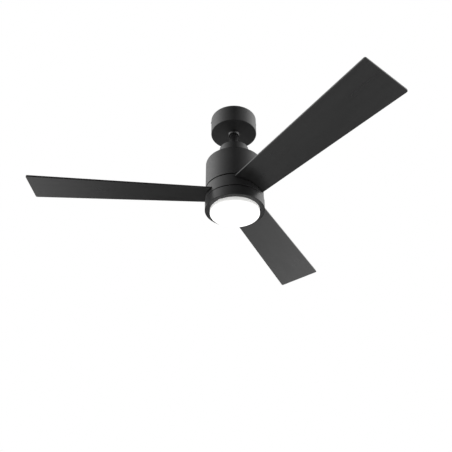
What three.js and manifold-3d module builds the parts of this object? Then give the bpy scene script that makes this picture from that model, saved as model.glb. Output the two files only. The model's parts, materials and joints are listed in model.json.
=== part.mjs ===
// Three-blade ceiling fan with a round LED light, hung on a short downrod.
//
// Millimetres, +Z up. The origin is on the fan's axis in the plane of the ceiling,
// so every piece hangs below z = 0. Blade 1 points along -X.

import * as THREE from 'three';
import { mergeVertices } from 'three/addons/utils/BufferGeometryUtils.js';
import Module from 'manifold-3d';

const wasm = await Module();
wasm.setup();

// ---- Driving dimensions ------------------------------------------------------

// Hanger: bracket, ball and canopy
const BRACKET_STEEL = 2.5;
const BRACKET_WIDTH = 44;
const BOX_SCREW_SPACING = 88.9;    // slots for the ceiling box's own screws
const BOX_SCREW_SLOT = 5.4;
const WIRE_HOLE_RADIUS = 17;
const LEAD_SPACE = 10.5;           // room for the leads above the ball
const BALL_DIAMETER = 64;
const BALL_HEIGHT = 40;            // between the ball's two flats
const BALL_TO_FLOOR = 5.1;         // ball to the canopy's floor
const LINER_THICKNESS = 2;
const SEAT_TOP = 8;                // seat's upper edge, below the ball's centre
const SEAT_DEPTH = 8.5;
const SEAT_WALL = 2.4;
const SWING = 3;                   // degrees either way, about each level axis
const TAB_WIDTH = 5;
const TAB_HEIGHT = 3;
const TAB_REACH = 2.7;             // how far the bracket's tab enters the ball's slot
const CEILING_GAP = 0.8;
const CANOPY_DIAMETER = 146.6;
const CANOPY_WALL = 1.2;
const CANOPY_FLOOR = 1.5;
const CANOPY_EDGE = 1.6;
const COLLAR_DROP = 5.4;
const COLLAR_WALL = 3.5;
const COLLAR_NECK = 1.2;
const COLLAR_TAPER = 2.9;
const TERMINAL_BLOCK = [12, 30, 16];

// Downrod, coupling and its cover
const ROD_DIAMETER = 26.7;
const ROD_WALL = 2.7;
const ROD_SHOWING = 62;            // between the canopy and the coupling cover
const CROSS_PIN_RADIUS = 3;
const PIN_OVERHANG = 8.5;          // cross pin beyond the rod, each side
const COVER_DIAMETER = 92;
const COVER_HEIGHT = 59;
const COVER_WALL = 1.2;
const COVER_EDGE = 2.5;
const COUPLING_WALL = 5.6;
const COUPLING_SOCKET = 36;
const COUPLING_FLANGE_WIDTH = 15;
const COUPLING_FLANGE = 5;

// Motor and its housing
const BODY_DIAMETER = 177.2;       // motor housing and blade hub
const HOUSING_HEIGHT = 99.9;
const HOUSING_WALL = 1.6;
const HOUSING_SHOULDER = 6;
const SHAFT_DIAMETER = 20;
const SHAFT_BORE = 12;
const ROTOR_DIAMETER = 132;
const ROTOR_HEIGHT = 58;
const ROTOR_WALL = 4;
const MAGNET_THICKNESS = 6.2;
const MAGNET_HEIGHT = 26;
const AIR_GAP = 1;
const STATOR_STACK = 22;
const STATOR_TEETH = 12;
const END_TURN = 6;
const BEARING_DIAMETER = 42;
const BEARING_WIDTH = 12;
const BEARING_SEAL_GAP = 0.6;
const BELL_LIP = 2;
const CONTROLLER_CLEARANCE = 12;   // controller tray to the housing's wall
const CONTROLLER_TRAY_DEPTH = 14;
const BOARD_THICKNESS = 1.6;

// Blade hub and blades
const REVEAL = 3.7;                // turning gap above and below the hub
const HUB_HEIGHT = 38.4;
const HUB_WALL = 3;
const HUB_WEB = 2.5;
const HUB_HOLE_RADIUS = 26;
const BLADES = 3;
const BLADE_TIP_RADIUS = 604;
const BLADE_ROOT_RADIUS = 46;
const BLADE_ROOT_HALF_WIDTH = 50.5;
const BLADE_TIP_TRAILING = 85;     // trailing edge from the blade's radial line, at the tip
const BLADE_TIP_LEADING = 58.6;    // leading edge, at the tip
const BLADE_TIP_SKEW = 2;          // leading tip corner beyond the trailing one
const BLADE_TIP_CORNER = 6;
const BLADE_THICKNESS = 5.5;
const BLADE_PITCH = 10.8;          // degrees, trailing edge low
const BLADE_TO_WEB = 1.5;          // least depth of the hub's seat over a blade
const BLADE_SCREW_RADIUS = 58;
const BLADE_SCREW_OFFSET = 24;

// Light
const LIGHT_DIAMETER = 180;
const LIGHT_HEIGHT = 30.2;
const LIGHT_WALL = 1.6;
const LIGHT_TOP = 1.8;
const BEZEL_WIDTH = 14.6;
const BEZEL_LIP = 2.2;
const BEZEL_WALL = 2.6;
const BEZEL_HEIGHT = 12;
const LENS_DROP = 13.1;
const LENS_WALL = 2.5;
const LENS_EDGE = 3;
const LENS_TAB_REACH = 2.2;
const LENS_TAB_HEIGHT = 2;
const LENS_TAB_ANGLE = 8;          // degrees of rim that a tab covers
const LENS_TWIST = 20;             // degrees from locked to free
const NUT_ACROSS = 30;
const NUT_HEIGHT = 8;
const SHAFT_BELOW_NUT = 2.5;
const DRIVER_BOX = [44, 36, 15];
const LED_TRAY = 1.5;
const LEDS = 18;

// Cables
const SUPPLY_CABLE = 5;
const LIGHT_CABLE = 4;
const CABLE_BEND = 8;

// Clearances
const GAP = 0.3;                   // between pieces that touch or are fastened
const BALL_GAP = 0.6;              // ball in liner, liner in seat
const SLIDE_GAP = 0.8;             // cover on rod
const SLOT_GAP = 0.8;              // blade in the hub's slot
const SLOT_DROP = 2;               // more room under the blade, to slide its root in
const LENS_GAP = 0.7;              // lens in its bezel
const TURN_GAP = 4;                // turning rotor to the tray above it

const FINE = 36;                   // facets round a large shell
const MEDIUM = 28;                 // facets round the rotor
const SMALL = 20;                  // facets round a rod or a hole
const TINY = 8;                    // facets round a screw

// ---- Materials ---------------------------------------------------------------

function finish(color, roughness, metalness) {
  return new THREE.MeshStandardMaterial({ color, roughness, metalness });
}

const blackPaint = finish(0x2b2b2c, 0.45, 0.1);
const bladeLaminate = finish(0x303031, 0.6, 0);
const zincSteel = finish(0xa9abad, 0.4, 0.9);
const brightSteel = finish(0xc7c9cb, 0.25, 1);
const castAluminium = finish(0x9a9c9e, 0.5, 0.9);
const siliconSteel = finish(0x6d7075, 0.5, 0.8);
const copper = finish(0xb3683a, 0.35, 0.9);
const ferrite = finish(0x38393b, 0.7, 0.2);
const blackPlastic = finish(0x1c1c1d, 0.5, 0);
const whitePlastic = finish(0xe6e4de, 0.5, 0);
const circuitBoard = finish(0x1f5a3a, 0.5, 0);
const opal = finish(0xffffff, 0.3, 0);
const rubber = finish(0x222222, 0.85, 0);

// ---- Solids ------------------------------------------------------------------

// A closed geometry with shared vertices merged, collapsed triangles dropped
// and its faces pointing out.
function closed(geometry) {
  const bare = new THREE.BufferGeometry();
  bare.setAttribute('position', geometry.getAttribute('position').clone());
  if (geometry.index) bare.setIndex(geometry.index.clone());
  const merged = mergeVertices(bare, 1e-4);
  const p = merged.getAttribute('position');
  const kept = [];
  let volume = 0;
  const a = new THREE.Vector3();
  const b = new THREE.Vector3();
  const c = new THREE.Vector3();
  for (let i = 0; i < merged.index.count; i += 3) {
    const [j, k, l] = [0, 1, 2].map((n) => merged.index.getX(i + n));
    if (j === k || k === l || l === j) continue;
    kept.push([j, k, l]);
    a.fromBufferAttribute(p, j);
    b.fromBufferAttribute(p, k);
    c.fromBufferAttribute(p, l);
    volume += a.dot(b.cross(c));
  }
  const faces = volume < 0 ? kept.map(([j, k, l]) => [j, l, k]) : kept;
  merged.setIndex(faces.flat());
  return merged;
}

function toSolid(geometry) {
  const g = closed(geometry);
  return new wasm.Manifold(new wasm.Mesh({
    numProp: 3,
    vertProperties: new Float32Array(g.getAttribute('position').array),
    triVerts: new Uint32Array(g.index.array),
  }));
}

function toGeometry(manifold) {
  const mesh = manifold.getMesh();
  const g = new THREE.BufferGeometry();
  g.setAttribute('position', new THREE.BufferAttribute(mesh.vertProperties, 3));
  g.setIndex(new THREE.BufferAttribute(mesh.triVerts, 1));
  return g;
}

function cut(geometry, ...tools) {
  return toGeometry(tools.reduce((s, t) => s.subtract(toSolid(t)), toSolid(geometry)));
}

function join(geometry, ...others) {
  return toGeometry(others.reduce((s, t) => s.add(toSolid(t)), toSolid(geometry)));
}

function within(geometry, bounds) {
  return toGeometry(toSolid(geometry).intersect(toSolid(bounds)));
}

// A profile of [radius, z] points turned about Z. It is closed back to its first
// point unless it starts and ends on the axis.
function lathe(profile, facets = FINE) {
  const points = profile.map(([r, z]) => new THREE.Vector2(r, z));
  if (profile[0][0] > 0) points.push(points[0].clone());
  return closed(new THREE.LatheGeometry(points, facets).rotateX(Math.PI / 2));
}

// A plain ring between two radii and two heights.
function ring(inner, outer, z0, z1, facets = FINE) {
  return lathe([[inner, z0], [outer, z0], [outer, z1], [inner, z1]], facets);
}

// An upright cylinder, or one of six sides for a hexagon.
function disc(radius, z0, z1, facets = SMALL) {
  const g = new THREE.CylinderGeometry(radius, radius, z1 - z0, facets);
  return g.rotateX(Math.PI / 2).translate(0, 0, (z0 + z1) / 2);
}

// A box given by its lowest and highest corners.
function box([x0, y0, z0], [x1, y1, z1]) {
  const g = new THREE.BoxGeometry(x1 - x0, y1 - y0, z1 - z0);
  return g.translate((x0 + x1) / 2, (y0 + y1) / 2, (z0 + z1) / 2);
}

// Points along an arc of a [radius, z] profile, angles in degrees from +radius.
function arc(r, z, radius, from, to, steps = 4) {
  return Array.from({ length: steps + 1 }, (_, i) => {
    const angle = THREE.MathUtils.degToRad(from + ((to - from) * i) / steps);
    return [r + radius * Math.cos(angle), z + radius * Math.sin(angle)];
  });
}

// A round section carried along a path.
function tube(path, radius, steps, sides = 8) {
  const section = new THREE.Shape();
  section.absarc(0, 0, radius, 0, 2 * Math.PI, false);
  return closed(new THREE.ExtrudeGeometry(section, {
    steps, extrudePath: path, bevelEnabled: false, curveSegments: sides / 2,
  }));
}

// A socket-head screw along Z: the underside of its head is at z = 0, the head
// is above it and the shank runs down.
function screw({ shank, length, head, headHeight }) {
  const body = lathe([
    [0, headHeight], [head * 0.8, headHeight], [head, headHeight * 0.6], [head, 0],
    [shank, 0], [shank, -length], [0, -length],
  ], TINY);
  return cut(body, disc(head * 0.45, headHeight * 0.4, headHeight + 1, 6));
}

// A headless screw along Z, its socket at the upper end.
function setScrew(radius, length) {
  const body = lathe([
    [0, length], [radius, length], [radius, radius / 2], [radius / 2, 0], [0, 0],
  ], TINY);
  return cut(body, disc(radius * 0.5, length - radius, length + 1, 6));
}

const fan = new THREE.Group();

function piece(name, geometry, material, parent = fan) {
  const mesh = new THREE.Mesh(geometry, material);
  mesh.name = name;
  parent.add(mesh);
  return mesh;
}

const rad = THREE.MathUtils.degToRad;
const evenly = (count) => Array.from({ length: count }, (_, i) => i);

// ---- Heights -----------------------------------------------------------------

const ballTop = -BRACKET_STEEL - LEAD_SPACE;
const ballCentre = ballTop - BALL_HEIGHT / 2;
const ballBottom = ballTop - BALL_HEIGHT;
const canopyFloor = ballBottom - BALL_TO_FLOOR;
const canopyBottom = canopyFloor - CANOPY_FLOOR;
const coverTop = canopyBottom - ROD_SHOWING;
const housingTop = coverTop - COVER_HEIGHT;
const housingBottom = housingTop - HOUSING_HEIGHT;
const hubTop = housingBottom - REVEAL;
const hubBottom = hubTop - HUB_HEIGHT;
const lightTop = hubBottom - REVEAL;
const lightBottom = lightTop - LIGHT_HEIGHT;
const lensBottom = lightBottom - LENS_DROP;

const rodRadius = ROD_DIAMETER / 2;
const shaftRadius = SHAFT_DIAMETER / 2;
const shaftHole = shaftRadius + GAP;

// ---- Hanger ------------------------------------------------------------------

const ballRadius = BALL_DIAMETER / 2;
const linerInner = ballRadius + BALL_GAP;
const linerOuter = linerInner + LINER_THICKNESS;
const seatSphere = linerOuter + BALL_GAP;
const seatOuter = seatSphere + SEAT_WALL;
const seatTop = ballCentre - SEAT_TOP;
const seatBottom = seatTop - SEAT_DEPTH;
const canopyRadius = CANOPY_DIAMETER / 2;
const canopyInner = canopyRadius - CANOPY_WALL;
const earOuter = canopyInner - GAP;
const canopyScrewHeight = -13;
const canopyScrew = { shank: 2, length: 7, head: 3.4, headHeight: 0.8 };

// A ball of the given radius about the ball's centre.
function sphere(radius) {
  return new THREE.SphereGeometry(radius, 36, 24).rotateX(Math.PI / 2).translate(0, 0, ballCentre);
}

// The rod is put in from the -Y side, through this opening in seat and liner.
const mouthHalf = rodRadius + 1.5;
const mouth = box([-mouthHalf, -2 * seatOuter, seatBottom - 10], [mouthHalf, 0, seatTop + 1]);

// A slot with round ends, along X, right through the bracket's top plate.
function boxScrewSlot(x) {
  const run = BOX_SCREW_SLOT / 2;
  return join(
    box([x - run, -run, -BRACKET_STEEL - 1], [x + run, run, 1]),
    disc(run, -BRACKET_STEEL - 1, 1, TINY).translate(x - run, 0, 0),
    disc(run, -BRACKET_STEEL - 1, 1, TINY).translate(x + run, 0, 0),
  );
}

function hangerBracket() {
  const half = BRACKET_WIDTH / 2;
  const plate = box([-earOuter, -half, -BRACKET_STEEL], [earOuter, half, 0]);
  const legs = [-1, 1].map((side) => {
    const x = side * (seatOuter - BRACKET_STEEL / 2);
    return box([x - BRACKET_STEEL / 2, -half, seatBottom], [x + BRACKET_STEEL / 2, half, -1]);
  });
  const ears = [-1, 1].map((side) => {
    const x = side * (earOuter - BRACKET_STEEL / 2);
    return box([x - BRACKET_STEEL / 2, -11, canopyScrewHeight - 8], [x + BRACKET_STEEL / 2, 11, -1]);
  });
  const seat = ring(ballRadius * 0.6, seatOuter, seatBottom, seatTop);
  const pressed = cut(
    within(join(plate, ...legs, ...ears, seat), disc(earOuter, seatBottom, 0, FINE)),
    sphere(seatSphere),
    mouth,
    disc(WIRE_HOLE_RADIUS, -BRACKET_STEEL - 1, 1),
    boxScrewSlot(-BOX_SCREW_SPACING / 2),
    boxScrewSlot(BOX_SCREW_SPACING / 2),
    disc(canopyScrew.shank + GAP, -canopyRadius, canopyRadius, TINY)
      .rotateY(Math.PI / 2).translate(0, 0, canopyScrewHeight),
  );
  return join(pressed, tab());
}

// The tab stands in the ball's slot and stops the fan turning in the bracket.
const tabTop = seatTop - 0.5;
const tabBottom = tabTop - TAB_HEIGHT;
const tabTip = Math.sqrt(ballRadius ** 2 - (tabTop - ballCentre) ** 2) - TAB_REACH;

function tab() {
  return box([-TAB_WIDTH / 2, tabTip, tabBottom], [TAB_WIDTH / 2, seatOuter - 0.5, tabTop]);
}

// The liner is notched for the tab, deep enough for its own swing.
function ballSeatLiner() {
  const half = TAB_WIDTH / 2 + 1.5;
  const notchBottom = tabBottom - seatOuter * Math.sin(rad(SWING)) - GAP;
  return cut(
    ring(ballRadius * 0.6, seatOuter, seatBottom + 1, seatTop),
    sphere(linerInner),
    cut(ring(1, 2 * seatOuter, seatBottom - 5, seatTop + 5), sphere(linerOuter)),
    mouth,
    box([-half, 0, notchBottom], [half, 2 * seatOuter, seatTop + 1]),
  );
}

const ballBore = rodRadius + GAP;
const pinHole = CROSS_PIN_RADIUS + GAP;
const pinHalf = rodRadius + PIN_OVERHANG;
const ballPinHeight = ballTop - 3 - CROSS_PIN_RADIUS;
const setScrewRadius = 3;
const setScrewLength = 9;

// Cross pins and their holes lie along X.
function alongX(geometry, z) {
  return geometry.rotateY(Math.PI / 2).translate(0, 0, z);
}

// Set screws and their holes point at the axis from the given side of Y.
function fromSide(geometry, side, z) {
  return geometry.rotateX((-side * Math.PI) / 2).translate(0, side * (rodRadius + GAP), z);
}

function hangerBall() {
  const reach = ballRadius - 1;
  const slotHalf = TAB_WIDTH / 2 + 1.5;
  const half = BALL_HEIGHT / 2;
  const tilt = (Math.asin(half / ballRadius) * 180) / Math.PI;
  const body = lathe([
    [ballBore, ballBottom],
    ...arc(0, ballCentre, ballRadius, -tilt, tilt, 8),
    [ballBore, ballTop],
  ], 32);
  return cut(
    body,
    box([-pinHalf - 0.5, -pinHole, ballPinHeight - pinHole], [pinHalf + 0.5, pinHole, ballTop + 1]),
    box([-slotHalf, tabTip - 2.5, ballBottom - 1], [slotHalf, ballRadius + 1, ballTop + 1]),
    fromSide(disc(setScrewRadius + GAP, -2, reach, TINY), -1, ballCentre),
  );
}

function canopy() {
  const top = -CEILING_GAP;
  const shell = lathe([
    [collarNeckOuter + GAP, canopyBottom],
    [canopyRadius - CANOPY_EDGE, canopyBottom],
    ...arc(canopyRadius - CANOPY_EDGE, canopyBottom + CANOPY_EDGE, CANOPY_EDGE, -60, 0, 2),
    [canopyRadius, top],
    [canopyInner, top],
    [canopyInner, canopyFloor],
    [collarNeckOuter + GAP, canopyFloor],
  ]);
  const holes = disc(canopyScrew.shank + GAP, -canopyRadius - 1, canopyRadius + 1, TINY);
  return cut(shell, alongX(holes, canopyScrewHeight));
}

// The collar's hole lets the rod swing both ways at once.
const bothSwings = rad(SWING) * Math.SQRT2;
const collarBottom = canopyBottom - COLLAR_DROP;
const collarInner = rodRadius + (ballCentre - collarBottom) * Math.sin(bothSwings) + 0.3;
const collarNeckOuter = collarInner + COLLAR_NECK;

function canopyCollar() {
  const outer = collarInner + COLLAR_WALL;
  return lathe([
    [collarInner, collarBottom + 0.6],
    [collarInner + 0.5, collarBottom],
    [outer - COLLAR_TAPER, collarBottom],
    [outer, canopyBottom - GAP],
    [collarNeckOuter, canopyBottom - GAP],
    [collarNeckOuter, canopyFloor + 1],
    [collarInner, canopyFloor + 1],
  ], MEDIUM);
}

// A three-way mains terminal block on the bracket's +X leg.
function terminalBlock() {
  const [length, width, height] = TERMINAL_BLOCK;
  const x = seatOuter + GAP;
  const body = box([x, -width / 2, seatTop - height], [x + length, width / 2, seatTop]);
  const wells = [-1, 0, 1].flatMap((n) => [
    disc(2.6, seatTop - 6, seatTop + 1, TINY).translate(x + length / 2, (n * width) / 3.2, 0),
    disc(1.8, -1, 6, TINY).rotateY(Math.PI / 2)
      .translate(x + length - 5, (n * width) / 3.2, seatTop - height / 2 - 2),
  ]);
  return cut(body, ...wells);
}

piece('hanger_bracket', hangerBracket(), zincSteel);
piece('ball_seat_liner', ballSeatLiner(), rubber);
piece('hanger_ball', hangerBall(), castAluminium);
piece('canopy', canopy(), blackPaint);
piece('canopy_collar', canopyCollar(), blackPaint);
piece('terminal_block', terminalBlock(), whitePlastic);
piece('ball_pin', alongX(disc(CROSS_PIN_RADIUS, -pinHalf, pinHalf, TINY), ballPinHeight), brightSteel);
piece('ball_set_screw', fromSide(setScrew(setScrewRadius, setScrewLength), -1, ballCentre), brightSteel);

for (const [i, side] of [-1, 1].entries()) {
  const mesh = piece(`canopy_screw_${i + 1}`, screw(canopyScrew), blackPaint);
  mesh.position.set(side * (canopyRadius + GAP), 0, canopyScrewHeight);
  mesh.rotation.y = (side * Math.PI) / 2;
}

// ---- Downrod and coupling ----------------------------------------------------

const couplingBore = rodRadius + GAP;
const couplingOuter = couplingBore + COUPLING_WALL;
const flangeTop = housingTop - HOUSING_WALL - GAP;
const flangeBottom = flangeTop - COUPLING_FLANGE;
const flangeRadius = couplingOuter + COUPLING_FLANGE_WIDTH;
const socketFloor = housingTop + 6;
const socketTop = socketFloor + COUPLING_SOCKET;
const rodTop = ballTop - 2;
const rodBottom = socketFloor + GAP;
const clevisHeight = socketFloor + COUPLING_SOCKET * 0.62;
const couplingSetHeight = socketFloor + COUPLING_SOCKET * 0.26;
const clevisHalf = couplingOuter + 3;
const housingScrewRadius = couplingOuter + COUPLING_FLANGE_WIDTH / 2;
const housingScrew = { shank: 2, length: 5, head: 3.8, headHeight: 2.4 };

function downrod() {
  return cut(
    ring(rodRadius - ROD_WALL, rodRadius, rodBottom, rodTop, SMALL),
    alongX(disc(pinHole, -30, 30, TINY), ballPinHeight),
    alongX(disc(pinHole, -30, 30, TINY), clevisHeight),
  );
}

function housingScrewHoles(z0, z1) {
  return [-1, 1].map((side) => (
    disc(housingScrew.shank + GAP, z0 - 1, z1 + 1, TINY).translate(0, side * housingScrewRadius, 0)
  ));
}

// The coupling holds the rod's end in its socket and is screwed on the shaft.
function motorCoupling() {
  const body = lathe([
    [shaftHole, flangeBottom],
    [flangeRadius, flangeBottom],
    [flangeRadius, flangeTop],
    [couplingOuter, flangeTop],
    [couplingOuter, socketTop],
    [couplingBore, socketTop],
    [couplingBore, socketFloor],
    [shaftHole, socketFloor],
  ], SMALL);
  return cut(
    body,
    alongX(disc(pinHole, -30, 30, TINY), clevisHeight),
    fromSide(disc(setScrewRadius + GAP, -1, COUPLING_WALL + 2, TINY), -1, couplingSetHeight),
    ...housingScrewHoles(flangeBottom, flangeTop),
  );
}

const clipWire = 0.8;
const clipX = clevisHalf + 1.2;

// The pin has a head at -X and a hole for its spring clip at +X.
function couplingPin() {
  const shank = disc(CROSS_PIN_RADIUS, -clevisHalf, clevisHalf + 4, TINY);
  const head = disc(CROSS_PIN_RADIUS + 1.8, -clevisHalf - 2, -couplingOuter - GAP, TINY);
  const pin = alongX(join(shank, head), clevisHeight);
  return cut(pin, disc(clipWire + GAP, clevisHeight - 6, clevisHeight + 6, 8).translate(clipX, 0, 0));
}

// A hairpin clip: one straight leg through the pin, one bowed leg over it.
function couplingClip() {
  const bow = CROSS_PIN_RADIUS + clipWire + GAP;
  const path = new THREE.CatmullRomCurve3([
    [0, -9], [0, 0], [0, 9], [0.6, 12.4], [3, 14], [5.6, 12.4], [bow + 1, 8],
    [bow - 0.6, 5], [bow + 0.4, 0], [bow - 0.4, -4.5], [bow + 1.6, -8],
  ].map(([out, up]) => new THREE.Vector3(clipX + 0.001 * up, out, clevisHeight + up)));
  return tube(path, clipWire, 26, 6);
}

function couplingCover() {
  const outer = COVER_DIAMETER / 2;
  const inner = outer - COVER_WALL;
  const hole = rodRadius + SLIDE_GAP;
  return lathe([
    [hole, coverTop - COVER_WALL],
    [hole, coverTop],
    ...arc(outer - COVER_EDGE, coverTop - COVER_EDGE, COVER_EDGE, 90, 0, 3),
    [outer, housingTop + GAP],
    [inner, housingTop + GAP],
    [inner, coverTop - COVER_EDGE],
    [outer - COVER_EDGE, coverTop - COVER_WALL],
  ]);
}

piece('downrod', downrod(), blackPaint);
piece('coupling_cover', couplingCover(), blackPaint);
piece('motor_coupling', motorCoupling(), castAluminium);
piece('coupling_pin', couplingPin(), brightSteel);
piece('coupling_clip', couplingClip(), brightSteel);

piece(
  'coupling_set_screw',
  fromSide(setScrew(setScrewRadius, COUPLING_WALL + 1), -1, couplingSetHeight),
  brightSteel,
);

for (const [i, side] of [-1, 1].entries()) {
  const mesh = piece(`housing_screw_${i + 1}`, screw(housingScrew), zincSteel);
  mesh.position.set(0, side * housingScrewRadius, housingTop + GAP);
}

// ---- Motor housing and controller --------------------------------------------

const bodyRadius = BODY_DIAMETER / 2;
const housingInner = bodyRadius - HOUSING_WALL;

function motorHousing() {
  const hole = couplingOuter + GAP;
  const shell = lathe([
    [hole, housingTop - HOUSING_WALL],
    [hole, housingTop],
    ...arc(bodyRadius - HOUSING_SHOULDER, housingTop - HOUSING_SHOULDER, HOUSING_SHOULDER, 90, 0, 3),
    [bodyRadius, housingBottom],
    [housingInner, housingBottom],
    ...arc(
      bodyRadius - HOUSING_SHOULDER,
      housingTop - HOUSING_SHOULDER,
      HOUSING_SHOULDER - HOUSING_WALL,
      0,
      90,
      2,
    ),
  ]);
  return cut(shell, ...housingScrewHoles(housingTop - HOUSING_WALL, housingTop));
}

// The rotor stands on the blade hub's boss, so the stack is placed from below.
const rotorBottom = hubTop + 3.6;
const rotorTop = rotorBottom + ROTOR_HEIGHT;
const trayBottom = rotorTop + TURN_GAP;
const trayFloor = trayBottom + 1.5;
const trayOuter = housingInner - CONTROLLER_CLEARANCE;
const boardBottom = trayFloor + 1.5;
const boardTop = boardBottom + BOARD_THICKNESS;
const cableHeight = boardTop + 4.5;
const plugInner = 34;

function controllerTray() {
  return lathe([
    [shaftHole, trayBottom],
    [trayOuter, trayBottom],
    [trayOuter, trayBottom + CONTROLLER_TRAY_DEPTH],
    [trayOuter - 2, trayBottom + CONTROLLER_TRAY_DEPTH],
    [trayOuter - 2, trayFloor],
    [shaftHole, trayFloor],
  ]);
}

// The drive board with its capacitors, choke, power stage and two lead sockets.
function controllerBoard() {
  const inner = 27;
  const outer = trayOuter - 2 - GAP - 1;
  const middle = (inner + outer) / 2;
  const onBoard = (geometry, deg) => geometry.translate(middle, 0, 0).rotateZ(rad(deg));
  const foot = boardTop - 0.5;
  const capacitors = [50, 75, 100].map((deg) => onBoard(disc(5.5, foot, boardTop + 9, TINY), deg));
  const choke = onBoard(box([-10, -9, foot], [10, 9, boardTop + 9]), -75);
  const powerStage = [-150, -135, -120].map((deg) => (
    onBoard(box([-5, -4, foot], [5, 4, boardTop + 3]), deg)
  ));
  const sockets = [0, 180].map((deg) => (
    box([plugInner, -6, foot], [plugInner + 10, 6, boardTop + 8]).rotateZ(rad(deg))
  ));
  return join(
    ring(inner, outer, boardBottom, boardTop, MEDIUM),
    ...capacitors,
    choke,
    ...powerStage,
    ...sockets,
  );
}

piece('motor_housing', motorHousing(), blackPaint);
piece('controller_tray', controllerTray(), blackPlastic);
piece('controller_board', controllerBoard(), circuitBoard);

// ---- Shaft, bearings and stator ----------------------------------------------

const nutTop = lightTop - LIGHT_TOP - GAP;
const nutBottom = nutTop - NUT_HEIGHT;
const shaftTop = socketFloor - GAP;
const shaftBottom = nutBottom - SHAFT_BELOW_NUT;

// The fixed hollow shaft, with a window each side where the cables come in.
function motorShaft() {
  const half = SUPPLY_CABLE / 2 + 1;
  const tall = SUPPLY_CABLE / 2 + 5;
  return cut(
    ring(SHAFT_BORE / 2, shaftRadius, shaftBottom, shaftTop, SMALL),
    box([-2 * shaftRadius, -half, cableHeight - tall], [2 * shaftRadius, half, cableHeight + tall]),
  );
}

const bearingOuter = BEARING_DIAMETER / 2;
const raceInner = shaftHole + 4;
const raceShoulder = raceInner + BEARING_SEAL_GAP;
const bearings = {
  upper: rotorTop - BELL_LIP - BEARING_WIDTH / 2,
  lower: rotorBottom + BEARING_WIDTH / 2,
};

// Sealed ball bearings: the inner race stays on the shaft, and the outer race,
// with the shields that hide the balls, turns with the rotor.
for (const [name, middle] of Object.entries(bearings)) {
  const z0 = middle - BEARING_WIDTH / 2;
  const z1 = middle + BEARING_WIDTH / 2;
  const inset = 0.8;
  piece(`${name}_bearing_inner_race`, ring(shaftHole, raceInner, z0, z1, SMALL), brightSteel);
  piece(`${name}_bearing_outer_race`, lathe([
    [raceShoulder, z0 + inset],
    [bearingOuter - 3, z0 + inset],
    [bearingOuter - 3, z0],
    [bearingOuter, z0],
    [bearingOuter, z1],
    [bearingOuter - 3, z1],
    [bearingOuter - 3, z1 - inset],
    [raceShoulder, z1 - inset],
  ], SMALL), brightSteel);
}

const rotorRadius = ROTOR_DIAMETER / 2;
const bellInner = rotorRadius - ROTOR_WALL;
const magnetOuter = bellInner - GAP;
const magnetInner = magnetOuter - MAGNET_THICKNESS;
const statorRadius = magnetInner - AIR_GAP;
const statorMiddle = (rotorBottom + rotorTop) / 2;
const statorHub = shaftRadius + 10;
const bearingHole = bearingOuter + GAP;
const bearingBoss = bearingHole + 3.5;
const toothWidth = 7;
const toothTip = 4.5;
const toothPitch = (2 * Math.PI) / STATOR_TEETH;

// Laminated core: a hub, straight teeth and a curved tip on each.
function statorCore() {
  const half = toothWidth / 2;
  const tipHalf = toothPitch / 2 - 1.8 / statorRadius;
  const polar = (r, angle) => new THREE.Vector2(r * Math.cos(angle), r * Math.sin(angle));
  const outline = evenly(STATOR_TEETH).flatMap((i) => {
    const middle = i * toothPitch;
    const beside = (r, side) => polar(r, middle + side * Math.asin(half / r));
    return [
      beside(statorHub, -1),
      beside(statorRadius - toothTip, -1),
      polar(statorRadius - toothTip / 2, middle - tipHalf),
      ...[-1, -0.5, 0, 0.5, 1].map((share) => polar(statorRadius, middle + share * tipHalf)),
      polar(statorRadius - toothTip / 2, middle + tipHalf),
      beside(statorRadius - toothTip, 1),
      beside(statorHub, 1),
    ];
  });
  const shape = new THREE.Shape(outline);
  shape.holes.push(new THREE.Path(evenly(SMALL).map((i) => polar(shaftHole, (-i * 2 * Math.PI) / SMALL))));
  return closed(new THREE.ExtrudeGeometry(shape, { depth: STATOR_STACK, bevelEnabled: false }))
    .translate(0, 0, statorMiddle - STATOR_STACK / 2);
}

// One coil round each tooth, all joined by the leads that run round the hub.
function statorWinding() {
  const z0 = statorMiddle - STATOR_STACK / 2 - END_TURN;
  const z1 = statorMiddle + STATOR_STACK / 2 + END_TURN;
  const inner = bearingBoss + 1.5;
  const outer = statorRadius - toothTip - 3;
  const coils = evenly(STATOR_TEETH).map((i) => {
    const side = (r) => Math.tan(toothPitch / 2) * r - 0.5;
    const shape = new THREE.Shape([
      new THREE.Vector2(inner, -side(inner)),
      new THREE.Vector2(outer, -side(outer) + 2),
      new THREE.Vector2(outer, side(outer) - 2),
      new THREE.Vector2(inner, side(inner)),
    ]);
    return new THREE.ExtrudeGeometry(shape, { depth: z1 - z0, bevelEnabled: false })
      .translate(0, 0, z0).rotateZ(i * toothPitch);
  });
  const cores = evenly(STATOR_TEETH).map((i) => {
    const half = toothWidth / 2 + GAP;
    const above = STATOR_STACK / 2 + GAP;
    return box([0, -half, statorMiddle - above], [statorRadius, half, statorMiddle + above])
      .rotateZ(i * toothPitch);
  });
  return cut(join(ring(inner, inner + 4, z1 - 3, z1, SMALL), ...coils), ...cores);
}

piece('motor_shaft', motorShaft(), zincSteel);
piece('stator_core', statorCore(), siliconSteel);
piece('stator_winding', statorWinding(), copper);
piece(
  'upper_spacer',
  ring(shaftHole, shaftHole + 3, bearings.upper + BEARING_WIDTH / 2 + GAP, trayBottom - GAP, SMALL),
  zincSteel,
);
piece(
  'lower_spacer',
  ring(shaftHole, shaftHole + 3, lightTop + GAP, rotorBottom - GAP, SMALL),
  zincSteel,
);

// ---- Rotor -------------------------------------------------------------------

const coverThickness = 4;
const hubScrewRadius = HUB_HOLE_RADIUS + 8;
const hubScrew = { shank: 2.5, length: 12, head: 4.5, headHeight: 3 };
const spacerHole = shaftHole + 3 + 1.5;

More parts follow.
